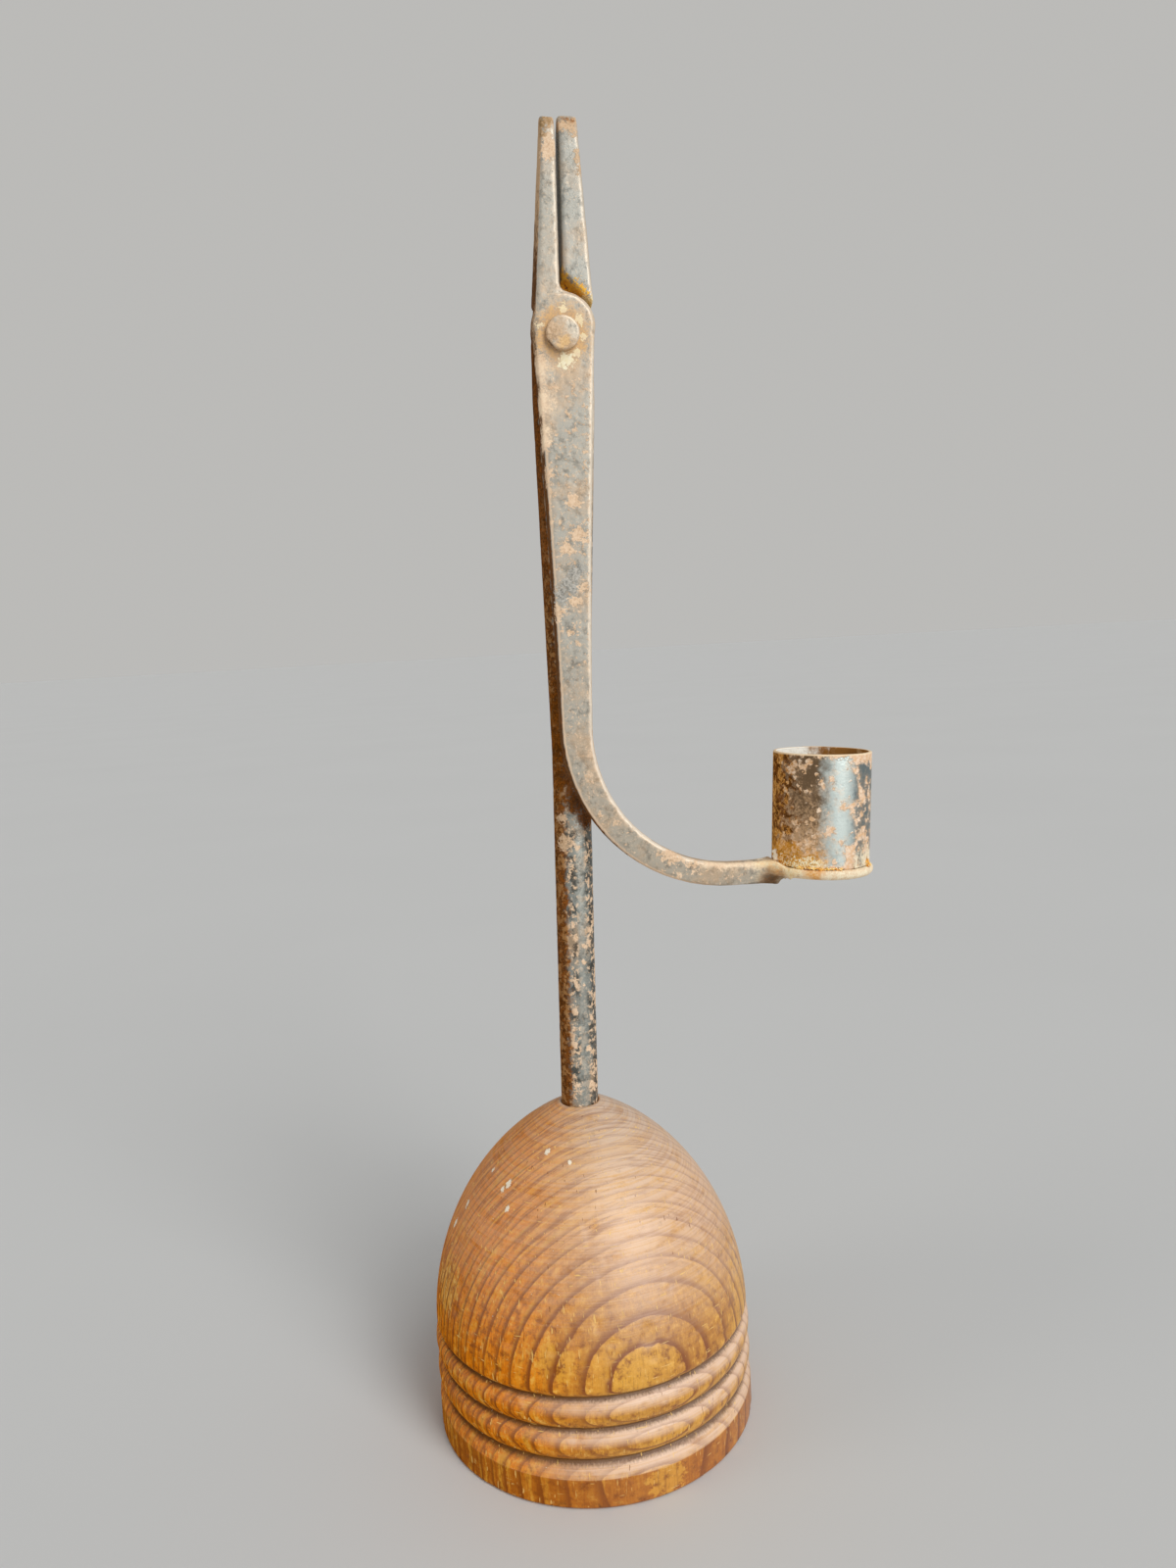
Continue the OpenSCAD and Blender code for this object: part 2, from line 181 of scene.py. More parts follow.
def vector(operation, a, b=None, scale=None):
    inputs = {0: a}
    if b is not None:
        inputs[1] = b
    if scale is not None:
        inputs["Scale"] = scale
    made = put("ShaderNodeVectorMath", inputs, operation=operation)
    return made.outputs["Value" if operation in ("LENGTH", "DISTANCE", "DOT_PRODUCT") else 0]


def parts_of(place):
    return put("ShaderNodeSeparateXYZ", {0: place}).outputs


def joined(**parts):
    return put("ShaderNodeCombineXYZ", parts).outputs[0]


def stretched(place, scale, turn=(0.0, 0.0, 0.0), shift=(0.0, 0.0, 0.0)):
    """Coordinates turned and then drawn out, for a pattern with a direction."""
    inputs = {"Vector": place, "Location": shift, "Rotation": turn, "Scale": scale}
    return put("ShaderNodeMapping", inputs).outputs[0]


def from_place(place, at, turn):
    """Coordinates counted from a point, in axes turned with it."""
    inputs = {"Vector": place, "Location": at, "Rotation": turn}
    return put("ShaderNodeMapping", inputs, vector_type="TEXTURE").outputs[0]


def new_tree(name, inputs):
    """Lays an empty Geometry Nodes tree with named inputs on the bench and returns their sockets."""
    tree = on_bench["tree"] = bpy.data.node_groups.new(name, "GeometryNodeTree")
    for label, kind in inputs:
        tree.interface.new_socket(label, in_out="INPUT", socket_type="NodeSocket" + kind)
    tree.interface.new_socket("Geometry", in_out="OUTPUT", socket_type="NodeSocketGeometry")
    return tree.nodes.new("NodeGroupInput").outputs


def end_tree(geometry, finish):
    """Closes the tree on the bench: smooth shading, real geometry and the finish."""
    smooth = put("GeometryNodeSetShadeSmooth", {"Geometry": geometry})
    real = put("GeometryNodeRealizeInstances", {"Geometry": smooth.outputs[0]})
    finished = put("GeometryNodeSetMaterial", {"Geometry": real.outputs[0], "Material": finish})
    put("NodeGroupOutput", {0: finished.outputs[0]})
    return on_bench["tree"]


def sweeping_tree():
    """Sweeps an outline of points round Z, lets it run a little out of true and keeps its groove values.
    Where the sweep is more than a full turn, its last part climbs by Lap rise over its start."""
    given = new_tree("swept_outline", [
        ("Outline", "Geometry"), ("Steps round", "Int"), ("Start", "Float"), ("Sweep", "Float"),
        ("Lap", "Float"), ("Lap rise", "Float"), ("Out of true", "Float"), ("Dents", "Float"),
        ("Seed", "Float"), ("Place", "Vector"), ("Lean", "Float"), ("Finish", "Material")])
    rows = put("GeometryNodeAttributeDomainSize", {"Geometry": given["Outline"]}).outputs["Point Count"]
    grid = put("GeometryNodeMeshGrid", {"Vertices X": given["Steps round"], "Vertices Y": rows})
    share = parts_of(grid.outputs["UV Map"])
    row = calc("ROUND", calc("MULTIPLY", share["Y"], calc("SUBTRACT", rows, 1.0)))
    spot = put("GeometryNodeInputPosition").outputs[0]
    depth = put("GeometryNodeInputNamedAttribute", {"Name": "groove"}, data_type="FLOAT").outputs[0]
    point = put("GeometryNodeSampleIndex", {"Geometry": given["Outline"], "Value": spot, "Index": row},
                data_type="FLOAT_VECTOR")
    groove = put("GeometryNodeSampleIndex", {"Geometry": given["Outline"], "Value": depth, "Index": row},
                 data_type="FLOAT")
    section = parts_of(point.outputs[0])
    swept = calc("MULTIPLY", share["X"], given["Sweep"])
    turn = calc("ADD", given["Start"], swept)
    climb_to = calc("SUBTRACT", given["Sweep"], given["Lap"])
    climb = rise(swept, calc("SUBTRACT", climb_to, given["Lap"]), climb_to)
    across = total(section["X"], (climb, given["Lap rise"]))
    ray = joined(X=calc("COSINE", turn), Y=calc("SINE", turn))
    height = joined(Z=section["Z"])
    true = vector("ADD", vector("SCALE", ray, scale=across), height)
    seeded = vector("ADD", true, joined(X=given["Seed"]))
    dent = rise(noise(seeded, 170.0, 2.0), 0.58, 0.74)
    loss = total(0.0, (noise(seeded, 22.0, 1.0), given["Out of true"]), (dent, given["Dents"]))
    kept = calc("MULTIPLY", across, rest_of(loss))
    worn = vector("ADD", vector("SCALE", ray, scale=kept), height)
    mesh = put("GeometryNodeStoreNamedAttribute",
               {"Geometry": grid.outputs["Mesh"], "Name": "groove", "Value": groove.outputs[0]},
               data_type="FLOAT", domain="POINT").outputs[0]
    mesh = put("GeometryNodeSetPosition", {"Geometry": mesh, "Position": worn}).outputs[0]
    mesh = put("GeometryNodeMergeByDistance", {"Geometry": mesh, "Distance": 0.01 * mm}).outputs[0]
    lean = joined(Y=given["Lean"])
    mesh = put("GeometryNodeTransform", {"Geometry": mesh, "Translation": given["Place"], "Rotation": lean})
    return end_tree(mesh.outputs[0], given["Finish"])


def run_tree(piece, tree, **settings):
    """Adds a tree to a piece, with each named input set by its socket's identifier."""
    step = piece.modifiers.new(tree.name, "NODES")
    step.node_group = tree
    for item in tree.interface.items_tree:
        label = item.name.lower().replace(" ", "_")
        if item.in_out == "INPUT" and label in settings:
            step[item.identifier] = settings[label]


def make_solid(piece):
    """Leaves a piece as one plain closed mesh with its faces outwards and no modifiers."""
    ready = piece.evaluated_get(bpy.context.evaluated_depsgraph_get())
    mesh = bpy.data.meshes.new_from_object(ready)
    piece.modifiers.clear()
    piece.data = mesh
    shell = bmesh.new()
    shell.from_mesh(mesh)
    bmesh.ops.holes_fill(shell, edges=[edge for edge in shell.edges if edge.is_boundary], sides=0)
    bmesh.ops.recalc_face_normals(shell, faces=shell.faces)
    shell.to_mesh(mesh)
    shell.free()


def new_piece(name, data=None):
    piece = bpy.data.objects.new(name, data or bpy.data.meshes.new(name))
    bpy.context.scene.collection.objects.link(piece)
    return piece


def set_points(piece, points, label, values):
    """Gives a piece loose points in mm, with one named value for each."""
    piece.data.from_pydata([[part * mm for part in point] for point in points], [], [])
    piece.data.attributes.new(label, "FLOAT", "POINT").data.foreach_set("value", values)


def new_finish(name):
    """Lays a new material's empty tree on the bench; returns it and its Object coordinates in mm."""
    finish = bpy.data.materials.new(name)
    finish.use_nodes = True
    on_bench["tree"] = finish.node_tree
    finish.node_tree.nodes.clear()
    place = vector("SCALE", put("ShaderNodeTexCoord").outputs["Object"], scale=1.0 / mm)
    return finish, place


def tint(amount, under, over):
    """Lays one colour over another."""
    mixed = put("ShaderNodeMix", {0: amount, 6: under, 7: over}, data_type="RGBA", blend_type="MIX")
    return mixed.outputs[2]


def curve_of(value, stops):
    """A ramp of greys through (place, height) stops."""
    ramp = put("ShaderNodeValToRGB", {0: value})
    while len(ramp.color_ramp.elements) < len(stops):
        ramp.color_ramp.elements.new(1.0)
    for element, (where, height) in zip(ramp.color_ramp.elements, stops):
        element.position = where
        element.color = (height, height, height, 1.0)
    return ramp.outputs[0]


def facing():
    """The surface's direction, as its X, Y and Z parts."""
    return parts_of(put("ShaderNodeTexCoord").outputs["Normal"])


def patches(place, size, share, seed=0.0, edge=0.03, rough=0.62):
    """Ragged patches of about one size in mm, over about this share of the surface."""
    moved = vector("ADD", place, (seed * 17.3, seed * -9.1, seed * 5.7))
    level = 0.5 + (0.5 - share) * 0.42
    return rise(noise(moved, 0.5 / size, 8.0, rough), level - edge, level + edge)


def streaks(place, size, turn, level, seed=0.0):
    """Short strokes: noise drawn out to size (along X, Y and Z in mm), cut at a high level."""
    drawn = stretched(place, [0.5 / part for part in size], turn, (seed, seed * 2.0, seed * -3.0))
    return rise(noise(drawn, 1.0, 1.5), level, level + 0.05)


def end_finish(colour, rough, relief, depth, metal=0.0, shine=0.5):
    """Closes a material: one shader with its bump, whose depth is in mm."""
    bump = put("ShaderNodeBump", {"Strength": 1.0, "Distance": depth * mm, "Height": relief}).outputs[0]
    inputs = {"Base Color": colour, "Roughness": rough, "Metallic": metal, "Specular IOR Level": shine,
              "Normal": bump}
    shader = put("ShaderNodeBsdfPrincipled", inputs)
    put("ShaderNodeOutputMaterial", {"Surface": shader.outputs[0]})


def grown(place, spots, ragged, edge=0.08):
    """Where something has grown round (place, radius) spots; a wide edge makes it a thin film."""
    level = 0.44
    raggedness = 2.6 - 3.2 * edge
    near = 0.0
    for spot, radius in spots:
        near = either(rise(vector("DISTANCE", place, spot), radius, 0.0), near)
    reach = total(near, (both(ragged, rise(near, 0.0, 0.15)), raggedness))
    return rise(reach, level - edge, level + edge)


def loosened(place, size, reach):
    """Coordinates pushed about over size mm, so that what is drawn on them grows crooked."""
    push = put("ShaderNodeTexNoise", {"Vector": place, "Scale": 0.5 / size, "Detail": 3.0}).outputs["Color"]
    push = vector("SUBTRACT", push, (0.5, 0.5, 0.5))
    return vector("ADD", place, vector("SCALE", push, scale=reach))


def round_spots(place, spacing, share):
    """Roundish spots of uneven size, a spacing in mm apart, with this share of them kept."""
    cells = put("ShaderNodeTexVoronoi", {"Vector": loosened(place, 0.56, 1.8), "Scale": 1.0 / spacing})
    cell = put("ShaderNodeSeparateColor", {0: cells.outputs["Color"]}).outputs
    edge = calc("SUBTRACT", cells.outputs["Distance"], total(0.14, (cell["Green"], 0.24)))
    return both(rise(edge, 0.04, -0.03), rise(total(cell["Red"], (share, 1.0)), 1.0, 1.01))


def old_pine():
    """Orange-brown softwood with dark year rings about a pith behind the block, grimy in its grooves, with a
    film of dust above that carries a painted sheen on the faces turned to the right. Faces turned to the
    left are painted a deeper orange as warm light in their shade."""
    finish, place = new_finish("old_pine")
    pith = (-9.6, 50.0, 0.0)
    pith_lean = (math.radians(-2.35), math.radians(-1.5), 0.0)
    year_w = 2.0
    last_line = 91.85
    slow_from = 89.8
    year_line = [(0.0, 0.9), (0.03, 0.15), (0.07, 0.0), (0.52, 0.04), (0.77, 0.26), (0.89, 0.82),
                 (0.95, 1.0)]
    early_wood = (0.55, 0.235, 0.028)
    late_wood = (0.245, 0.068, 0.011)
    warm_shade_orange = (0.82, 0.235, 0.004)
    foot_wood = (0.46, 0.145, 0.014)
    yellow_wood = (0.76, 0.385, 0.045)
    pale_wood = (0.86, 0.465, 0.085)
    dust = (0.83, 0.59, 0.43)
    grey_dust = (0.70, 0.565, 0.46)
    grime = (0.10, 0.042, 0.014)
    scuff = (0.92, 0.60, 0.19)
    paint = (0.95, 0.88, 0.72)
    paint_spots = [
        ((-20.1, -12.6, 66.6), 1.3), ((-21.4, -12.3, 65.3), 1.0), ((-29.9, -3.2, 58.2), 1.2),
        ((-33.1, -1.5, 52.9), 1.1), ((-10.4, -12.5, 73.4), 1.1), ((-21.0, -16.9, 62.7), 0.9),
        ((-23.2, -4.5, 66.6), 0.9), ((-5.6, -16.9, 72.1), 0.7)]
    worn_spots = [((-36.5, -9.0, 41.0), 11.0), ((-14.0, -37.0, 35.0), 8.0), ((3.0, -39.0, 31.0), 9.0),
                  ((-27.0, -30.0, 8.0), 3.4), ((10.0, -38.5, 4.0), 8.0)]
    run_down = 0.35
    run_spots = [((x, y, z * run_down), radius) for (x, y, z), radius in paint_spots]

    side = facing()
    where = parts_of(place)
    mottle = noise(place, 0.5, 8.0, 0.68)
    fine = noise(place, 2.4, 3.0)
    uneven = centred(mottle)
    broad = noise(place, 0.05, 3.0)
    fibres = noise(stretched(place, (2.2, 2.2, 0.10)), 1.0, 5.0, 0.6)
    turning_marks = noise(stretched(place, (0.03, 0.03, 2.6)), 1.0, 4.0, 0.6)

    inside = from_place(place, pith, pith_lean)
    from_pith = vector("LENGTH", vector("MULTIPLY", inside, (1.0, 1.0, 0.0)))
    from_pith = total(from_pith, (centred(noise(place, 0.05, 1.0)), 0.7), (uneven, 0.16))
    slow_years = calc("MAXIMUM", calc("SUBTRACT", from_pith, slow_from), 0.0)
    years = calc("DIVIDE", total(-last_line, (from_pith, 1.0), (slow_years, 0.7)), year_w)
    year = calc("FRACT", years)
    line = curve_of(year, year_line)
    faded = rise(total(where["Z"], (broad, 16.0)), 48.0, 72.0)
    foot = rise(where["Z"], foot_h + 0.15, foot_h - 0.1)
    beads = both(rise(where["Z"], dome_z, dome_z - 1.4), rest_of(foot))
    strength = total(0.66, (rise(noise(place, 0.04, 2.0), 0.3, 0.62), 0.45), (uneven, 0.9),
                     (faded, -0.36), (beads, -0.2))
    no_loop = rest_of(both(foot, rise(from_pith, 90.2, 90.6)))
    line = both(line, strength, no_loop)

    # Faces turned to the left are painted a deeper orange: the wood's own tone there and painted warm bounce
    # light in the shade.
    left = rise(total(0.0, (side["X"], -1.0), (centred(broad), 0.5)), -0.05, 0.75)
    colour = tint(rise(broad, 0.38, 0.66), early_wood, yellow_wood)
    colour = tint(left, colour, warm_shade_orange)
    colour = tint(both(foot, 0.9), colour, foot_wood)
    colour = tint(both(grown(place, worn_spots, uneven), 0.6), colour, yellow_wood)
    colour = tint(both(rise(fibres, 0.5, 0.78), total(0.8, (foot, -0.5))), colour, yellow_wood)
    colour = tint(both(rise(fibres, 0.5, 0.24), 0.55), colour, late_wood)
    drawn = joined(X=calc("MULTIPLY", from_pith, 1.5), Y=calc("MULTIPLY", where["X"], 0.07),
                   Z=calc("MULTIPLY", where["Z"], 0.07))
    grain_lines = noise(drawn, 1.0, 4.0, 0.65)
    lined = either(faded, both(left, 0.8))
    colour = tint(both(rise(grain_lines, 0.51, 0.34), lined, 0.75), colour, late_wood)
    colour = tint(both(rise(grain_lines, 0.51, 0.64), lined, 0.9), colour, yellow_wood)
    blotched = total(0.85, (faded, -0.5))
    colour = tint(both(rise(mottle, 0.53, 0.31), blotched), colour, late_wood)
    pale = both(rise(mottle, 0.53, 0.68), blotched, total(1.0, (foot, -0.62)))
    colour = tint(pale, colour, pale_wood)
    colour = tint(line, colour, late_wood)

    # Dust on faces turned up, with a painted sheen: the film is paler and wider on faces turned to the right
    # and on the beads there.
    film = noise(stretched(place, (0.10, 0.10, 0.34)), 1.0, 7.0, 0.68)
    up = rise(total(side["Z"], (beads, 0.14)), 0.04, 0.58)
    to_right = rise(side["X"], -0.6, 0.3)
    beads_right = both(beads, rise(side["X"], -0.62, -0.1))
    dust_sheen_share = total(0.37, (to_right, 0.60), (beads, -0.25), (beads_right, 0.53))
    dust_and_sheen = both(up, rise(film, 0.18, 0.52), dust_sheen_share,
                 total(0.68, (rise(turning_marks, 0.36, 0.60), 0.36)))
    grey = rise(side["Z"], 0.55, 0.95)
    colour = tint(both(dust_and_sheen, 0.88), colour, tint(grey, dust, grey_dust))
    dark_lines = either(line, both(rise(grain_lines, 0.50, 0.34), faded))
    colour = tint(both(dark_lines, dust_and_sheen, 0.34), colour, late_wood)
    smudge = both(patches(place, 1.6, 0.12, 3.0, 0.06), rise(side["Z"], 0.1, 0.6))
    colour = tint(both(smudge, 0.2), colour, grime)
    depth = put("ShaderNodeAttribute", attribute_name="groove").outputs["Fac"]
    dirt_reach = total(0.0, (depth, 1.0), (centred(fibres), 0.5))
    dirty = both(rise(dirt_reach, 0.38, 0.85), total(0.7, (mottle, 0.3)))
    colour = tint(dirty, colour, grime)

    scuffs = either(streaks(place, (0.30, 0.6, 2.4), (0.0, math.radians(24), 0.0), 0.685, 1.0),
                    streaks(place, (2.6, 1.4, 0.24), (0.0, math.radians(-18), 0.3), 0.70, 2.0),
                    streaks(place, (0.22, 0.5, 1.6), (0.0, math.radians(-38), 0.2), 0.70, 3.0))
    scrapes = both(streaks(place, (0.5, 0.5, 3.6), (0.0, math.radians(5), 0.0), 0.57, 5.0),
                   grown(place, worn_spots[:1], uneven, 0.2))
    colour = tint(both(either(scuffs, scrapes), 0.7), colour, scuff)
    gouges = streaks(place, (0.32, 0.8, 2.2), (0.2, math.radians(50), 0.0), 0.72, 4.0)
    colour = tint(both(gouges, 0.6), colour, late_wood)
    low_edge = rise(where["Z"], 2.6, 0.3)
    colour = tint(both(patches(place, 1.2, 0.24, 6.0, 0.05), low_edge, 0.8), colour, grime)
    colour = tint(both(patches(place, 0.9, 0.12, 7.0, 0.02), low_edge, 0.8), colour, scuff)
    dots = both(patches(place, 0.45, 0.012, 9.0, 0.015), rise(side["Z"], 0.0, 0.4))
    ragged = total(uneven, (centred(fine), 0.8))
    splashes = either(grown(stretched(place, (1.0, 1.0, run_down)), run_spots, ragged), dots)
    colour = tint(both(splashes, 0.92), colour, paint)

    rough = total(0.34, (dust_and_sheen, 0.12), (dirty, 0.3), (uneven, 0.4))
    relief = total(0.0, (fibres, 0.5), (turning_marks, 0.5), (mottle, 0.4), (line, -0.3), (splashes, 0.6),
                   (gouges, -0.8), (scuffs, -0.3))
    shine = calc("MAXIMUM", total(-0.04, (to_right, 0.78)), 0.0)
    end_finish(colour, rough, relief, 0.10, shine=shine)
    return finish


base = new_piece("turned_base")
outline = base_outline()
set_points(base, [(r, 0.0, z) for r, z, groove in outline], "groove", [groove for r, z, groove in outline])
swept_outline = sweeping_tree()
run_tree(base, swept_outline, steps_round=361, sweep=math.tau, out_of_true=0.004, dents=0.005, seed=3.0,
         finish=old_pine())
make_solid(base)
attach(base, "stand")
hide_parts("base")

# Stem
# A round bar of wrought iron driven into the base; the smith hammered it flat towards the top and forged
# the round boss and the fixed jaw of the nip on the same bar. Thin brown rust lies on dark scale.
stem_skin = 0.36


def forging_tree():
    """Hammer marks and pits on an even skin, which also learns where its edges and hollows are."""
    given = new_tree("hammered_skin", [
        ("Skin", "Geometry"), ("Hammer depth", "Float"), ("Hammer marks", "Float"), ("Pit depth", "Float"),
        ("Seed", "Float"), ("Finish", "Material")])
    spot = put("GeometryNodeInputPosition").outputs[0]
    even, wide = [put("GeometryNodeBlurAttribute", {"Value": spot, "Iterations": rounds},
                      data_type="FLOAT_VECTOR").outputs[0] for rounds in (2, 10)]
    skin = put("GeometryNodeSetPosition", {"Geometry": given["Skin"], "Position": even}).outputs[0]
    normal = put("GeometryNodeInputNormal").outputs[0]
    proud = vector("DOT_PRODUCT", vector("SUBTRACT", spot, wide), normal)
    proud = calc("DIVIDE", proud, 0.1 * mm)
    skin = put("GeometryNodeStoreNamedAttribute", {"Geometry": skin, "Name": "proud", "Value": proud},
               data_type="FLOAT", domain="POINT").outputs[0]
    seeded = vector("ADD", spot, joined(X=given["Seed"]))
    blows = calc("SUBTRACT", noise(seeded, given["Hammer marks"], 2.0, 0.4), 0.5)
    pits = rise(noise(seeded, calc("MULTIPLY", given["Hammer marks"], 5.0), 2.0), 0.5, 0.7)
    move = calc("SUBTRACT", calc("MULTIPLY", blows, given["Hammer depth"]),
                calc("MULTIPLY", pits, given["Pit depth"]))
    offset = vector("SCALE", normal, scale=move)
    beaten = put("GeometryNodeSetPosition", {"Geometry": skin, "Offset": offset})
    return end_tree(beaten.outputs[0], given["Finish"])


def skinned(piece, skin, finish, hammer_depth, hammer_marks, pit_depth, seed):
    """Draws one even skin over a piece and hammers it."""
    cover = piece.modifiers.new("skin", "REMESH")
    cover.mode = "VOXEL"
    cover.voxel_size = skin * mm
    run_tree(piece, hammered_skin, hammer_depth=hammer_depth * mm, hammer_marks=hammer_marks,
             pit_depth=pit_depth * mm, seed=seed, finish=finish)
    make_solid(piece)


def forged(name, node, skin, finish, **hammering):
    """A forging made from a solid: its facets merged, one skin drawn over it, then hammered."""
    piece = new_piece(name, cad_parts[node].data.copy())
    solid = bmesh.new()
    solid.from_mesh(piece.data)
    bmesh.ops.remove_doubles(solid, verts=solid.verts, dist=0.002 * mm)
    solid.to_mesh(piece.data)
    solid.free()
    skinned(piece, skin, finish, **hammering)
    return piece


tan = (0.60, 0.41, 0.25)
tan_pale = (0.74, 0.54, 0.36)
fleck = (0.72, 0.50, 0.32)
fleck_pale = (0.92, 0.70, 0.50)
cream = (0.92, 0.75, 0.52)
brown = (0.27, 0.085, 0.010)
dark_brown = (0.10, 0.034, 0.005)
orange = (0.74, 0.31, 0.04)
yellow = (0.96, 0.60, 0.14)
crust = (0.98, 0.86, 0.56)
scale_dark = (0.13, 0.125, 0.11)


def rusted_iron(name, growths, low_iron, high_iron, change, rust, depth, sheen, brown_from,
                stripe_clean=0.0):
    """Old iron under thin rust: brown rust and painted shade on the faces turned to the left, tan in spots
    and clouds, bare on worn edges, and a painted highlight on the edges turned to the right and up. Its tone
    changes between the two heights of change; rust gives the shares of spots below and above, sheen how
    bright the bare iron is there. brown_from says how far a face turns to the left before it is brown,
    below and above, and up to what height. stripe_clean, over 0 for the stem's bar alone, keeps a stripe
    down its front clean between dark blots and a far side painted dark as shade. growths lists what has
    grown thick: its two tones, how soft its edge is and its (place, radius) spots."""
    finish, place = new_finish(name)
    worn_edge_highlight = (0.90, 0.82, 0.70)
    far_shade_dark = (0.055, 0.06, 0.058)
    blot_dark = (0.06, 0.06, 0.052)
    side_tan = (0.56, 0.30, 0.11)
    left_edge_share = 0.75 if stripe_clean == 0.0 else 0.0
    mottle = noise(place, 0.55, 8.0, 0.66)
    fine = noise(place, 2.2, 5.0, 0.62)
    clouds = noise(place, 0.10, 6.0, 0.64)
    uneven = centred(mottle)
    flakes = noise(place, 1.15, 5.0, 0.6)
    ragged = total(uneven, (centred(fine), 0.5), (centred(flakes), 0.9))
    grain = total(0.0, (fine, 0.5), (mottle, 0.5))
    crooked = loosened(place, 1.6, 3.4)
    side = facing()
    up = parts_of(place)["Z"]
    high = rise(total(up, (uneven, 30.0)), *change)
    low = rest_of(high)
    colour = tint(high, low_iron, high_iron)
    colour = tint(both(rise(mottle, 0.52, 0.32), 0.6), colour, scale_dark)
    stripe = rise(calc("ABSOLUTE", calc("SUBTRACT", side["X"], 0.22)), 0.34, 0.12)
    off_stripe = total(1.0, (both(stripe, low), -stripe_clean))
    cleaned = total(0.6 + 0.25 * stripe_clean, (rise(up, 268.0, 284.0), -0.35))
    colour = tint(both(rise(clouds, 0.44, 0.66), cleaned, off_stripe), colour, tan)
    colour = tint(both(rise(fine, 0.54, 0.70), 0.45, off_stripe), colour, tan_pale)

    # Painted shade: the stem's round bar is darkened on its side turned to the right.
    far_side_shade = both(rise(total(side["X"], (uneven, 0.6)), 0.58, 0.80), low, stripe_clean)
    colour = tint(far_side_shade, colour, far_shade_dark)
    low_spots = either(patches(place, 1.3, rust[0], 2.0, 0.03), patches(place, 0.6, rust[0], 5.0, 0.04))
    high_spots = either(patches(place, 1.0, rust[1], 2.0, 0.03), patches(place, 0.5, rust[1], 5.0, 0.04))
    low_spots = both(low_spots, off_stripe)
    low_share = total(0.12, (rise(up, 150.0, 84.0), 0.5))
    low_spots = either(low_spots, both(round_spots(place, 2.9, low_share), stripe_clean, 1.3))
    blots = both(patches(place, 1.6, 0.42, 7.0, 0.05), low, stripe_clean, off_stripe)
    colour = tint(blots, colour, blot_dark)
    on_arm = total(1.0, (rise(up, 250.0, 266.0), -0.7))
    spots = total(both(low_spots, low), (both(high_spots, high, on_arm), 1.0))
    spot_tone = tint(rise(grain, 0.38, 0.62), fleck, fleck_pale)
    colour = tint(both(spots, 0.9), colour, spot_tone)
    pits = patches(place, 0.4, 0.12, 4.0, 0.04)
    colour = tint(both(pits, 0.5), colour, scale_dark)

    proud = put("ShaderNodeAttribute", attribute_name="proud").outputs["Fac"]
    colour = tint(both(rise(proud, -0.35, -1.3), 0.8), colour, brown)
    # Faces turned to the left are brown: brown rust and painted shade.
    left_from = total(brown_from[0], (high, brown_from[1] - brown_from[0]))
    to_left = total(0.0, (side["X"], -1.0), (uneven, 0.9), (left_from, -1.0))
    left = both(rise(to_left, 0.0, 0.30), rise(up, brown_from[2] + 6.0, brown_from[2]))
    left_dark = 0.06 * (1.0 - stripe_clean)
    left_shade_tone = tint(rise(grain, 0.42 + left_dark, 0.60 + left_dark), dark_brown, brown)
    left_shade_tone = tint(both(spots, low, 0.5), left_shade_tone, side_tan)
    left_shade_tone = tint(rise(total(up, (uneven, 60.0)), 276.0, 296.0), left_shade_tone, tan)
    colour = tint(both(left, 0.97), colour, left_shade_tone)
    # Edges turned to the right and up are painted pale: wear, and a painted highlight.
    worn = both(rise(proud, 0.4, 1.2), rise(total(0.0, (side["X"], 1.0), (uneven, 1.2)), -0.1, 0.4),
                rise(total(side["X"], (uneven, 0.8)), 0.92, 0.66))
    lit_edge = rise(total(side["X"], (side["Z"], 0.6), (uneven, 0.5)), 0.0, 0.3)
    off_bar = total(1.0, (low, -1.3 * stripe_clean))
    below_nip = total(1.0, (rise(up, 264.0, 282.0), -0.5))
    lit_edge_band = both(rise(proud, 0.06, 0.42), lit_edge, off_bar, below_nip)
    colour = tint(both(lit_edge_band, 0.5), colour, fleck_pale)
    colour = tint(both(worn, below_nip, 0.85), colour, worn_edge_highlight)
    on_left_edge = both(rise(proud, 0.05, 0.4), rise(total(side["X"], (uneven, 0.5)), -0.06, -0.3),
                        rise(side["X"], -0.70, -0.50), rise(up, 262.0, 250.0))
    colour = tint(both(on_left_edge, left_edge_share), colour, fleck_pale)

    rusty = either(both(spots, 0.9), left)
    thickness = spots
    for tone, tone_pale, edge, places in growths:
        thick = both(grown(crooked, places, ragged, edge), 0.92)
        colour = tint(thick, colour, tint(rise(grain, 0.40, 0.62), tone, tone_pale))
        rusty = either(rusty, thick)
        thickness = either(thickness, thick)

    rough = total(0.38, (rusty, 0.42), (uneven, 0.3))
    metal = both(rest_of(rusty), total(sheen[0], (high, sheen[1] - sheen[0])))
    relief = total(0.0, (mottle, 0.6), (fine, 0.25), (thickness, 0.7), (pits, -0.5))
    end_finish(colour, rough, relief, depth, metal, shine=0.0)
    return finish


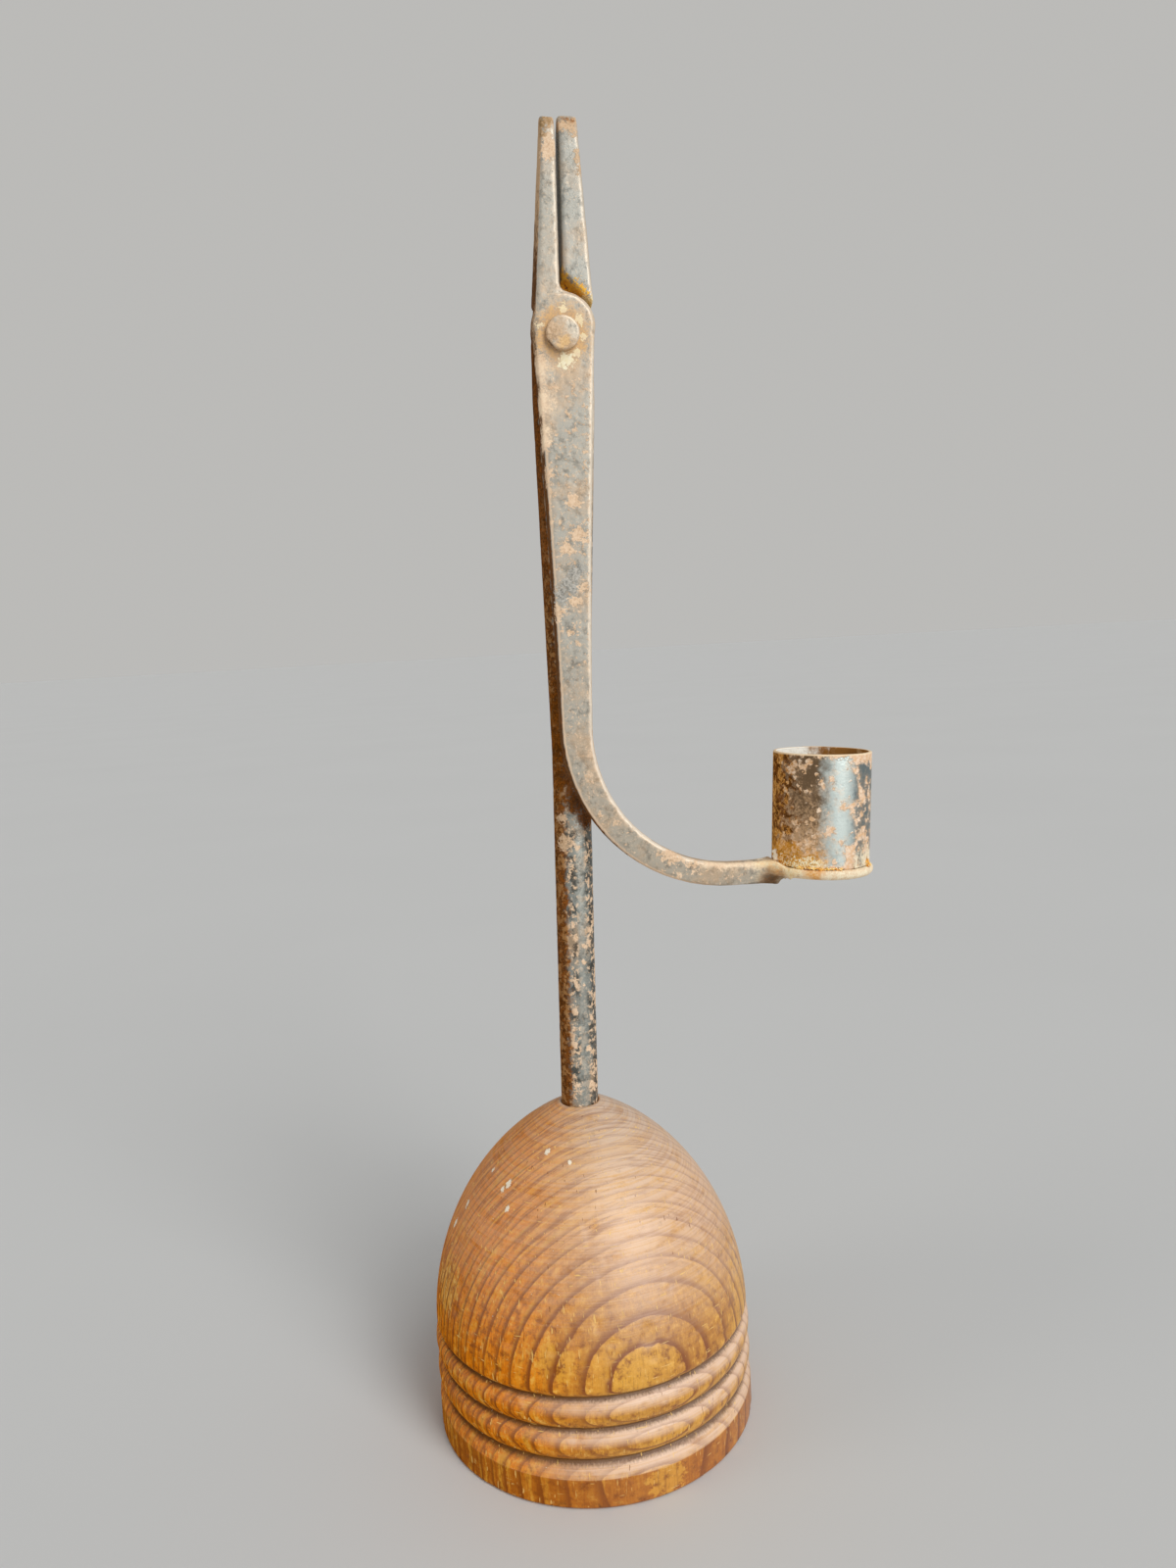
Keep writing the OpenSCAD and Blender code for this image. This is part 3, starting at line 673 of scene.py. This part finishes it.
pivot = (4.74, -7.3, 262.94)
throat_lit_orange = (1.0, 0.40, 0.01)
throat_lit_yellow = (1.0, 0.60, 0.07)
stem_growths = [
    # Orange and yellow rust in the nip's throat, with painted light: brightened past the rust's tone where
    # the jaw shades it.
    (throat_lit_orange, throat_lit_yellow, 0.2, [
        ((6.6, -5.6, 275.3), 4.6), ((8.2, -6.2, 273.8), 4.6), ((9.6, -6.5, 272.4), 4.6)]),
    (yellow, crust, 0.2, [((11.2, -6.8, 270.9), 3.6), ((12.3, -6.6, 269.5), 3.4)]),
    # Dark brown below the arm's bend: rust, and a painted shadow of the arm on the stem.
    (dark_brown, brown, 0.35, [
        ((-2.4, -4.4, 178.0), 9.0), ((-1.4, -4.5, 170.0), 9.0), ((0.5, -4.6, 162.0), 7.0),
        ((2.8, -4.6, 156.6), 5.4), ((5.2, -3.6, 152.0), 4.6)]),
    (tan, tan_pale, 0.2, [((-1.6, -3.9, 152.2), 3.2), ((-0.8, -3.8, 146.4), 3.2)]),
    (tan, tan_pale, 0.12, [
        ((8.0, -6.8, 308.6), 4.4), ((9.8, -6.9, 308.9), 4.4), ((10.9, -7.8, 301.3), 2.2),
        ((11.1, -7.9, 298.8), 2.4)]),
    (brown, tan, 0.12, [((8.6, -6.2, 309.9), 1.9), ((10.0, -6.2, 309.8), 1.9)])]
hammered_skin = forging_tree()
stem_finish = rusted_iron("stem_iron", stem_growths, low_iron=(0.40, 0.42, 0.39),
                          high_iron=(0.41, 0.41, 0.375), change=(190.0, 262.0), rust=(0.35, 0.04),
                          depth=0.06, sheen=(0.9, 0.3), brown_from=(0.36, 0.12, 264.0), stripe_clean=0.75)
stem = forged("forged_stem", "stem", stem_skin, stem_finish,
              hammer_depth=0.12, hammer_marks=130.0, pit_depth=0.05, seed=1.0)
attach(stem, "stand")
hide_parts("stem")

# Lever
# Moving jaw, boss, tapering arm and round pan in one forging, held on the stem's boss by the rivet.
# The arm was drawn out and bent round hot; its right-hand edge is worn bright by lifting fingers,
# and its edges turned to the right and up are painted paler as a highlight.
lever_skin = 0.32
boss_face = -9.9
ring_r = 4.5
pan_r = 11.0
pan_centre = (62.4, -7.3)
pan_edge_z = 136.0
all_round = [math.radians(a) for a in range(0, 360, 30)]
rivet_ring = [(pivot[0] + ring_r * math.cos(a), boss_face, pivot[2] + ring_r * math.sin(a))
              for a in all_round]
pan_rim = [(pan_centre[0] + pan_r * math.cos(a), pan_centre[1] + pan_r * math.sin(a), pan_edge_z)
           for a in all_round]
crumbs = [(pivot[0] + x, boss_face, pivot[2] + z)
          for x, z in ((0.2, 5.3), (4.2, 3.1), (4.9, -0.5), (-5.1, 2.0), (2.6, -4.5))]
run_top = [(34.1, -9.5, 140.4), (36.7, -9.6, 139.8), (39.9, -9.6, 139.6), (43.6, -9.6, 139.6),
           (46.4, -9.6, 139.5)]
neck_top = [(47.2, -9.8, 139.3), (48.8, -10.9, 138.9), (50.6, -12.8, 138.1), (53.0, -15.6, 137.4)]
bare_dark = (0.19, 0.20, 0.19)
bare_pale = (0.56, 0.55, 0.51)
arm_film = (1.0, 0.82, 0.60)
tip_brown = (0.24, 0.14, 0.045)
pan_tan = (0.86, 0.66, 0.44)
pan_pale = (1.0, 0.92, 0.70)
boss_tan = (0.84, 0.62, 0.40)
ring_tan = (0.82, 0.52, 0.24)
crust_pale = (1.0, 0.96, 0.74)
neck_tan = (0.86, 0.58, 0.30)
neck_yellow = (0.96, 0.70, 0.40)
neck_pale = (1.0, 0.90, 0.62)
run_pale = (0.98, 0.82, 0.60)
neck_shade_dark = (0.05, 0.02, 0.004)
neck_shade_brown = (0.15, 0.055, 0.010)
lever_growths = [
    (bare_dark, bare_pale, 0.12, [
        ((4.9, -9.7, 210.2), 3.4), ((3.2, -9.7, 207.6), 3.4), ((1.4, -9.7, 205.4), 3.4)]),
    (fleck, fleck_pale, 0.06, [
        ((4.0, -8.2, 302.2), 3.4), ((4.2, -8.2, 304.4), 3.2), ((-2.0, -9.5, 257.0), 5.0),
        ((-2.2, -9.5, 248.0), 5.5), ((-2.0, -9.6, 240.0), 5.0), ((-1.6, -9.6, 232.0), 4.0),
        ((5.2, -9.7, 226.1), 3.0), ((6.3, -9.7, 218.8), 3.2), ((3.2, -9.7, 215.9), 2.6),
        ((6.6, -9.7, 206.7), 2.4), ((4.4, -9.7, 204.0), 2.3), ((0.2, -9.7, 201.3), 3.0),
        ((3.1, -9.7, 196.8), 2.0), ((24.5, -9.6, 142.4), 4.2), ((29.6, -9.7, 139.4), 3.2),
        ((36.0, -9.7, 139.4), 2.6)]),
    (fleck_pale, arm_film, 0.5, [
        ((-1.2, -9.6, 255.0), 4.6), ((-0.8, -9.6, 248.0), 5.0), ((-1.0, -9.6, 241.0), 3.8)]),
    (tan, tan_pale, 0.15, [((5.4, -6.8, 309.4), 3.4)]),
    (tip_brown, tan, 0.15, [((3.4, -7.1, 308.9), 3.6), ((2.6, -7.6, 306.6), 2.4)]),
    (pan_tan, pan_pale, 0.36, [(spot, 10.0) for spot in pan_rim]),
    (tan_pale, boss_tan, 0.44, [((pivot[0], boss_face, pivot[2]), 11.5)]),
    (tan, ring_tan, 0.42, [(spot, 3.0) for spot in rivet_ring]),
    (cream, crust, 0.08, [(spot, 1.7) for spot in crumbs]),
    (crust, crust_pale, 0.12, [((pivot[0] + 0.5, boss_face, pivot[2] - 5.7), 2.9)]),
    (yellow, crust, 0.36, [((53.0, -14.5, 137.5), 3.6)]),
    (orange, neck_tan, 0.4, [((50.0, -11.5, 138.0), 5.4), ((57.0, -18.0, 137.0), 4.2)]),
    (fleck_pale, run_pale, 0.5, [(spot, 3.5) for spot in run_top]),
    (neck_yellow, neck_pale, 0.5, [(spot, 3.3) for spot in neck_top]),
    # Painted shade: dark brown in the hollow where the arm's front turns under into the pan.
    (neck_shade_dark, neck_shade_brown, 0.6, [((48.9, -9.8, 133.4), 6.2)])]
lever_finish = rusted_iron("lever_iron", lever_growths, low_iron=(0.43, 0.395, 0.33),
                           high_iron=(0.42, 0.415, 0.375), change=(140.0, 200.0), rust=(0.22, 0.24),
                           depth=0.035, sheen=(0.25, 0.35), brown_from=(0.46, 0.60, 320.0))
lever = forged("forged_lever", "lever", lever_skin, lever_finish,
               hammer_depth=0.13, hammer_marks=120.0, pit_depth=0.05, seed=2.0)
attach(lever, "arm")
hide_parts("lever")

# Pivot rivet
# A short iron rivet through both bosses, with a flat round head in front and its tail hammered over
# behind. The head is rubbed bare at its upper right, and tan rust lies on the rest of it.
rivet_skin = 0.16
rivet_face = -11.3
rivet_bare = (0.62, 0.57, 0.48)
rivet_tan = (0.50, 0.33, 0.19)
rivet_rust = (0.68, 0.43, 0.20)
rivet_rust_pale = (0.84, 0.58, 0.30)
rivet_growths = [
    (rivet_tan, tan_pale, 0.4, [((pivot[0] - 2.6, rivet_face, pivot[2] + 0.4), 5.0),
                                ((pivot[0], rivet_face, pivot[2] - 2.2), 4.0)]),
    (rivet_rust, rivet_rust_pale, 0.3, [((pivot[0] + 0.4, rivet_face, pivot[2] - 1.8), 2.4)])]
rivet_finish = rusted_iron("rivet_iron", rivet_growths, low_iron=rivet_bare, high_iron=rivet_bare,
                           change=(200.0, 260.0), rust=(0.25, 0.12), depth=0.04, sheen=(0.3, 0.3),
                           brown_from=(0.36, 0.36, 320.0))
rivet = forged("pivot_rivet_head", "pivot_rivet", rivet_skin, rivet_finish,
               hammer_depth=0.12, hammer_marks=240.0, pit_depth=0.05, seed=5.0)
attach(rivet, "stand")
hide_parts("pivot_rivet")

# Candle socket
# A tube rolled from sheet iron, with its outer end lapped over the seam at the back; it stands on the pan.
# Blue-grey where the scale is whole, blotched with tan rust and brown on the side that faces the stem.
socket_place = (62.422, -7.3, 137.217)
socket_lean = math.radians(2.9)
bore_r = 11.0
sheet_t = 0.9
socket_h = 27.6
lap_start = math.radians(70)
lap = math.radians(23)


def sheet_outline():
    """Section of the rolled sheet, once round: up the outside, over the rim and down the inside."""
    edge = 0.32
    rows = 46
    outer, inner = bore_r + sheet_t, bore_r
    points = [(outer, edge + (socket_h - 2 * edge) * i / rows) for i in range(rows + 1)]
    points += arc((outer - edge, socket_h - edge), edge, 22, 90, 3)
    points += arc((inner + edge, socket_h - edge), edge, 90, 158, 3)
    points += [(inner, socket_h - edge - (socket_h - 2 * edge) * i / rows) for i in range(rows + 1)]
    points += arc((inner + edge, edge), edge, 202, 270, 3) + arc((outer - edge, edge), edge, 270, 338, 3)
    return points + points[:1]


def sheet_iron():
    """Smooth rolled scale, brown towards the stem, with tan blotches that leave dark holes far round and a
    yellow crust at the foot. Its lip is pale with rust and a painted highlight, a painted shade line runs
    round its foot, and inside, over its rust, it is painted pale on the lit wall and brown on the shaded
    one.
    Patterns that go round it count their turn from the middle of its front."""
    finish, place = new_finish("sheet_iron")
    front_turn = math.radians(110.5)
    steel = (0.58, 0.65, 0.63)
    steel_dark = (0.40, 0.46, 0.45)
    hole_dark = (0.23, 0.275, 0.28)
    brown_scale = (0.26, 0.17, 0.10)
    scale_brown_dark = (0.13, 0.085, 0.048)
    scale_brown_pale = (0.60, 0.39, 0.22)
    rust_tan = (0.74, 0.51, 0.33)
    pink_tan = (0.96, 0.73, 0.55)
    stem_side_tan = (0.55, 0.34, 0.18)
    clump_tan = (0.80, 0.50, 0.27)
    clump_pale = (1.0, 0.85, 0.68)
    far_brown = (0.48, 0.17, 0.016)
    far_orange = (0.94, 0.52, 0.14)
    foot_orange = (0.88, 0.40, 0.05)
    foot_yellow = (1.0, 0.82, 0.44)
    foot_cream = (1.0, 0.95, 0.74)
    foot_glow = (0.86, 0.40, 0.06)
    inside_lit_pale = (0.97, 0.96, 0.89)
    inside_shade_brown = (0.34, 0.155, 0.04)
    inside_rust = (0.62, 0.40, 0.20)
    local = from_place(place, socket_place, (0.0, socket_lean, 0.0))
    front = parts_of(stretched(local, (1.0, 1.0, 1.0), (0.0, 0.0, front_turn)))
    turn = calc("ARCTAN2", front["Y"], front["X"])
    height = front["Z"]
    across = parts_of(local)["X"]
    outward = vector("DOT_PRODUCT", vector("MULTIPLY", local, (1.0, 1.0, 0.0)),
                     put("ShaderNodeTexCoord").outputs["Normal"])
    within = rise(outward, -3.0, -7.0)
    mottle = noise(place, 0.5, 8.0, 0.66)
    fine = noise(place, 2.0, 5.0, 0.62)
    broad = noise(place, 0.10, 2.0)
    uneven = centred(mottle)
    low = rise(total(height, (uneven, 16.0)), 14.0, 6.0)

    stem_side = rise(total(turn, (uneven, 0.5)), 0.20, -0.12)
    far_left = rise(total(turn, (uneven, 2.4)), -0.50, -0.92)
    far_right = rise(total(turn, (uneven, 0.5)), 0.60, 0.80)
    colour = tint(both(rise(mottle, 0.5, 0.3), 0.4), steel, steel_dark)
    brown_grain = total(0.22, (fine, 0.5), (mottle, 0.5), (height, -0.016))
    brown_tone = tint(rise(brown_grain, 0.36, 0.66), scale_brown_dark, scale_brown_pale)
    colour = tint(stem_side, colour, tint(0.75, brown_scale, brown_tone))
    colour = tint(far_right, colour, hole_dark)

    front_low = both(rise(turn, 0.15, 0.45), rise(turn, 0.85, 0.6), rise(height, 18.5, 15.0))
    spread = total(0.0, (noise(place, 0.22, 8.0, 0.62), 1.0), (far_right, 0.072),
                   (both(low, stem_side), 0.04), (low, 0.035), (front_low, 0.05), (far_left, 0.025),
                   (centred(broad), 0.22))
    patch = rise(spread, 0.575, 0.605)
    dots = either(round_spots(place, 2.38, 0.6), both(round_spots(place, 1.25, 0.42), stem_side))
    speckle = both(patches(place, 0.6, 0.42, 6.0, 0.04), either(low, far_left), stem_side)
    rim_low = total(height, (uneven, 7.0), (rise(turn, 0.45, 0.9), 1.6), (rise(turn, -0.3, 0.1), 0.5))
    rim = both(rise(rim_low, socket_h - 0.8, socket_h - 0.2), rise(turn, -1.0, -0.5))
    # The lip is pale with rust and a painted highlight along the rim's top.
    lip = rise(height, socket_h - 0.45, socket_h - 0.2)
    scales = put("ShaderNodeTexVoronoi", {"Vector": loosened(place, 1.1, 4.0), "Scale": 0.42},
                 feature="DISTANCE_TO_EDGE").outputs[0]
    cracks = both(rise(scales, 0.09, 0.02), far_right, rise(mottle, 0.58, 0.44))
    patch = both(patch, total(1.0, (cracks, -0.8)))
    rust = either(patch, dots, both(speckle, 0.8), rim, lip)
    wash = both(rise(spread, 0.48, 0.59), total(0.34, (stem_side, -0.24)))
    tone = rise(total(0.0, (fine, 0.6), (mottle, 0.4)), 0.38, 0.62)
    clumps = noise(place, 0.9, 4.0, 0.6)
    rust_tone = tint(both(stem_side, 0.75), tint(tone, rust_tan, pink_tan),
                     tint(tone, stem_side_tan, fleck_pale))
    rust_tone = tint(both(rise(clumps, 0.49, 0.60), 0.75), rust_tone, clump_tan)
    rust_tone = tint(both(rise(clumps, 0.45, 0.36), 0.6), rust_tone, clump_pale)
    rust_tone = tint(both(far_left, 0.95), rust_tone, tint(tone, far_brown, far_orange))
    colour = tint(both(far_left, 0.92), colour, tint(rise(mottle, 0.40, 0.60), dark_brown, brown))
    colour = tint(wash, colour, rust_tone)
    colour = tint(both(rust, 0.94), colour, rust_tone)

    foot_arc = both(rise(turn, -1.42, -1.2), rise(turn, 0.22, -0.12))
    foot_height = total(height, (uneven, 16.0), (turn, 0.6))
    foot_crust = both(rise(foot_height, 3.4, 2.2), foot_arc, rise(fine, 0.34, 0.45))
    right_turn = rise(total(turn, (uneven, 1.6)), 0.66, 0.94)
    right_crust = both(rise(total(height, (uneven, 16.0)), 5.6, 3.0), right_turn)
    crusty = either(foot_crust, both(right_crust, 0.85))
    crust_grain = total(fine, (turn, 0.16), (height, -0.05))
    crust_tone = tint(rise(crust_grain, 0.24, 0.46), foot_orange, foot_yellow)
    crust_tone = tint(rise(turn, 0.3, 0.7), crust_tone, cream)
    crust_tone = tint(both(rise(total(fine, (turn, 0.05)), 0.46, 0.56), 0.8), crust_tone, foot_cream)
    glow = both(rise(total(foot_height, (turn, 1.2)), 6.0, 1.5), foot_arc)
    colour = tint(both(glow, 0.65), colour, foot_glow)
    colour = tint(crusty, colour, crust_tone)
    # Cream on the lip: rust and a painted highlight.
    colour = tint(both(lip, 0.8), colour, cream)
    # Painted shade: a dark line round the foot, where the tube stands on the pan.
    foot_shade_line = both(rise(total(height, (uneven, 2.0)), 0.55, 0.25), rise(uneven, -0.06, 0.04))
    colour = tint(both(foot_shade_line, 0.8), colour, dark_brown)

    # Inside: painted light and shade, pale on the left wall and brown on the right, with rust over both.
    inner_tone = tint(patches(place, 2.5, 0.14, 11.0, 0.08), inside_lit_pale, tan_pale)
    inner_tone = tint(rise(total(across, (uneven, 18.0)), -1.2, 6.0), inner_tone, inside_shade_brown)
    inner_rust = both(patches(place, 1.4, 0.3, 12.0, 0.06), rise(across, -6.0, 0.0), 0.7)
    inner_tone = tint(inner_rust, inner_tone, inside_rust)
    colour = tint(within, colour, inner_tone)

    rusty = either(both(rust, 0.94), crusty, within, far_left)
    rough = total(0.42, (rusty, 0.36), (uneven, 0.4), (stem_side, 0.06))
    metal = both(rest_of(rusty), total(0.9, (stem_side, -0.5)))
    relief = total(0.0, (mottle, 0.3), (fine, 0.15), (rust, 0.5), (crusty, 0.8), (both(crusty, fine), 1.4))
    end_finish(colour, rough, relief, 0.14, metal, shine=0.0)
    return finish


socket = new_piece("rolled_socket")
sheet = sheet_outline()
set_points(socket, [(r, 0.0, z) for r, z in sheet], "groove", [0.0 for point in sheet])
run_tree(socket, swept_outline, steps_round=300, start=lap_start, sweep=math.tau + lap, lap=lap,
         lap_rise=0.93 * sheet_t * mm, out_of_true=0.006, dents=0.003, seed=8.0,
         place=[part * mm for part in socket_place], lean=socket_lean, finish=sheet_iron())
make_solid(socket)
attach(socket, "arm")
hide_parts("candle_socket")

# Socket braze
# Brass braze that was run round the socket's foot to hold it on the pan; it has a grainy, yellowed crust,
# with a pale lump left on the neck and another across the pan.
braze_arcs = [(110, 138, 26), (222, 275, 60)]
web_rise = 1.1
braze_lumps = [(186, web_rise), (318, 0.0)]
lump_grains = 9
lump_h = 2.0
lump_taper = 0.35
arc_grain_sizes = (0.16, 0.34)
lump_grain_sizes = (0.45, 0.75)
braze_skin = 0.10


def crust_tree():
    """Rough grains on points, each of the size that its point gives."""
    given = new_tree("crust_grains", [("Grains", "Geometry"), ("Seed", "Int"), ("Finish", "Material")])
    grain = put("GeometryNodeMeshIcoSphere", {"Radius": 1.0, "Subdivisions": 2}).outputs["Mesh"]
    size = put("GeometryNodeInputNamedAttribute", {"Name": "size"}, data_type="FLOAT").outputs[0]
    turn, shape = [put("FunctionNodeRandomValue",
                       {"Min": (low,) * 3, "Max": (high,) * 3, "Seed": given["Seed"]},
                       data_type="FLOAT_VECTOR").outputs[0] for low, high in ((0.0, math.tau), (0.7, 1.2))]
    scale = vector("SCALE", shape, scale=size)
    placed = put("GeometryNodeInstanceOnPoints",
                 {"Points": given["Grains"], "Instance": grain, "Rotation": turn, "Scale": scale})
    return end_tree(placed.outputs[0], given["Finish"])


def braze_grains():
    """Places and sizes of the grains: along the arcs (from, to, count) at the socket's foot, and close
    together up the lumps (direction, height)."""
    chance = random.Random(11)
    tube_r = bore_r + sheet_t
    lean = Matrix.Rotation(socket_lean, 3, "Y")
    grains = []
    for start, stop, count in braze_arcs:
        for i in range(count):
            a = math.radians(start + (stop - start) * (i + chance.random()) / count)
            size = chance.uniform(*arc_grain_sizes)
            r = tube_r + chance.uniform(-0.05, 0.45)
            grains.append((Vector((r * math.cos(a), r * math.sin(a), chance.uniform(0.1, 0.55))), size))
    for at, z in braze_lumps:
        a = math.radians(at)
        for i in range(lump_grains):
            r = tube_r + 0.25 + chance.uniform(-0.3, 0.35)
            across = chance.uniform(-0.5, 0.5)
            spot = Vector((r * math.cos(a) - across * math.sin(a), r * math.sin(a) + across * math.cos(a),
                           z + 0.35 + lump_h * i / (lump_grains - 1)))
            taper = 1.0 - lump_taper * i / (lump_grains - 1)
            grains.append((spot, chance.uniform(*lump_grain_sizes) * taper))
    return [(lean @ spot + Vector(socket_place), size * mm) for spot, size in grains]


def brazed_crust():
    """Orange and yellow braze with a pale bloom on its grains, and paler still up the lumps."""
    finish, place = new_finish("brazed_crust")
    lump_pale = (0.84, 0.75, 0.60)
    mottle = noise(place, 0.9, 6.0, 0.62)
    fine = noise(place, 3.0, 3.0)
    colour = tint(rise(mottle, 0.40, 0.60), orange, yellow)
    colour = tint(rise(fine, 0.50, 0.66), colour, crust)
    up = parts_of(place)["Z"]
    on_lumps = rise(total(up, (mottle, 0.8)), socket_place[2] + 1.6, socket_place[2] + 2.2)
    colour = tint(on_lumps, colour, lump_pale)
    rough = total(0.6, (fine, 0.3))
    end_finish(colour, rough, total(0.0, (mottle, 0.6), (fine, 0.4)), 0.12, shine=0.3)
    return finish


braze = new_piece("foot_braze")
grains = braze_grains()
set_points(braze, [spot for spot, size in grains], "size", [size for spot, size in grains])
crust_grains = crust_tree()
braze_finish = brazed_crust()
run_tree(braze, crust_grains, seed=4, finish=braze_finish)
skinned(braze, braze_skin, braze_finish, hammer_depth=0.12, hammer_marks=700.0, pit_depth=0.04, seed=6.0)
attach(braze, "arm")
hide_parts("socket_braze")

# Floor, light and camera
# A plain pale floor and surround, with a tall soft lamp to the right of the viewer, made of three above
# each other, and a weak one at the left. The camera stands where the photograph was taken from.
floor_r = 30.0
floor_grey = (0.672, 0.695, 0.71)
floor_pale = (0.70, 0.725, 0.74)
floor_finish, floor_place = new_finish("pale_floor")
floor_colour = tint(noise(floor_place, 0.004, 2.0), floor_grey, floor_pale)
floor_paint = put("ShaderNodeBsdfPrincipled",
                  {"Base Color": floor_colour, "Roughness": 0.95, "Specular IOR Level": 0.1})
put("ShaderNodeOutputMaterial", {"Surface": floor_paint.outputs[0]})
floor = new_piece("floor")
disc = bmesh.new()
bmesh.ops.create_circle(disc, cap_ends=True, segments=96, radius=floor_r)
disc.to_mesh(floor.data)
disc.free()
floor.data.materials.append(floor_finish)

sky_light = (0.33, 0.32, 0.31)
sky_shown = (0.50, 0.495, 0.48)
world = bpy.data.worlds.new("surround")
bpy.context.scene.world = world
world.use_nodes = True
world.node_tree.nodes.clear()
on_bench["tree"] = world.node_tree
seen = put("ShaderNodeLightPath").outputs
shown = either(seen["Is Camera Ray"], seen["Is Glossy Ray"], seen["Is Transmission Ray"])
sky_colour = tint(shown, sky_light, sky_shown)
sky = put("ShaderNodeBackground", {"Color": sky_colour, "Strength": 1.0})
put("ShaderNodeOutputWorld", {"Surface": sky.outputs[0]})

key_turn = 27
key_heights = (9, 30, 51)
key_level = 0.74 / len(key_heights)
key_colour = (1.0, 0.975, 0.94)
fill_turn = -80
fill_height = 15
fill_level = 0.14
fill_colour = (1.0, 0.92, 0.82)
lamp_softness = 0.46
lamps = [("key_lamp", key_turn, height, key_level, key_colour) for height in key_heights]
lamps += [("fill_lamp", fill_turn, fill_height, fill_level, fill_colour)]
for name, across, height, level, light_colour in lamps:
    lamp = bpy.data.lights.new(name, "SUN")
    lamp.angle = lamp_softness
    lamp.energy = level * math.pi
    lamp.color = light_colour
    lamp_stand = new_piece(name, lamp)
    turn, climb = math.radians(across), math.radians(height)
    flat = math.cos(climb)
    lamp_way = Vector((math.sin(turn) * flat, -math.cos(turn) * flat, math.sin(climb)))
    lamp_stand.matrix_world = lamp_way.to_track_quat("Z", "Y").to_matrix().to_4x4()

eye = Vector((-36.2, -269.6, 194.0)) * mm
heading, pitch, roll = math.radians(9.0), math.radians(7.12), math.radians(3.15)
ahead = Vector((math.sin(heading) * math.cos(pitch), math.cos(heading) * math.cos(pitch), -math.sin(pitch)))
level_right = Vector((math.cos(heading), -math.sin(heading), 0.0))
level_down = ahead.cross(level_right)
right = level_right * math.cos(roll) + level_down * math.sin(roll)
down = level_down * math.cos(roll) - level_right * math.sin(roll)
lens = bpy.data.cameras.new("camera")
lens.sensor_fit = "VERTICAL"
lens.sensor_height = 36.0
lens.lens = 25.875
lens.clip_start = 0.01
camera = new_piece("camera", lens)
camera.matrix_world = Matrix.Translation(eye) @ Matrix((right, -down, -ahead)).transposed().to_4x4()
bpy.context.scene.camera = camera
bpy.context.scene.view_settings.view_transform = "Standard"
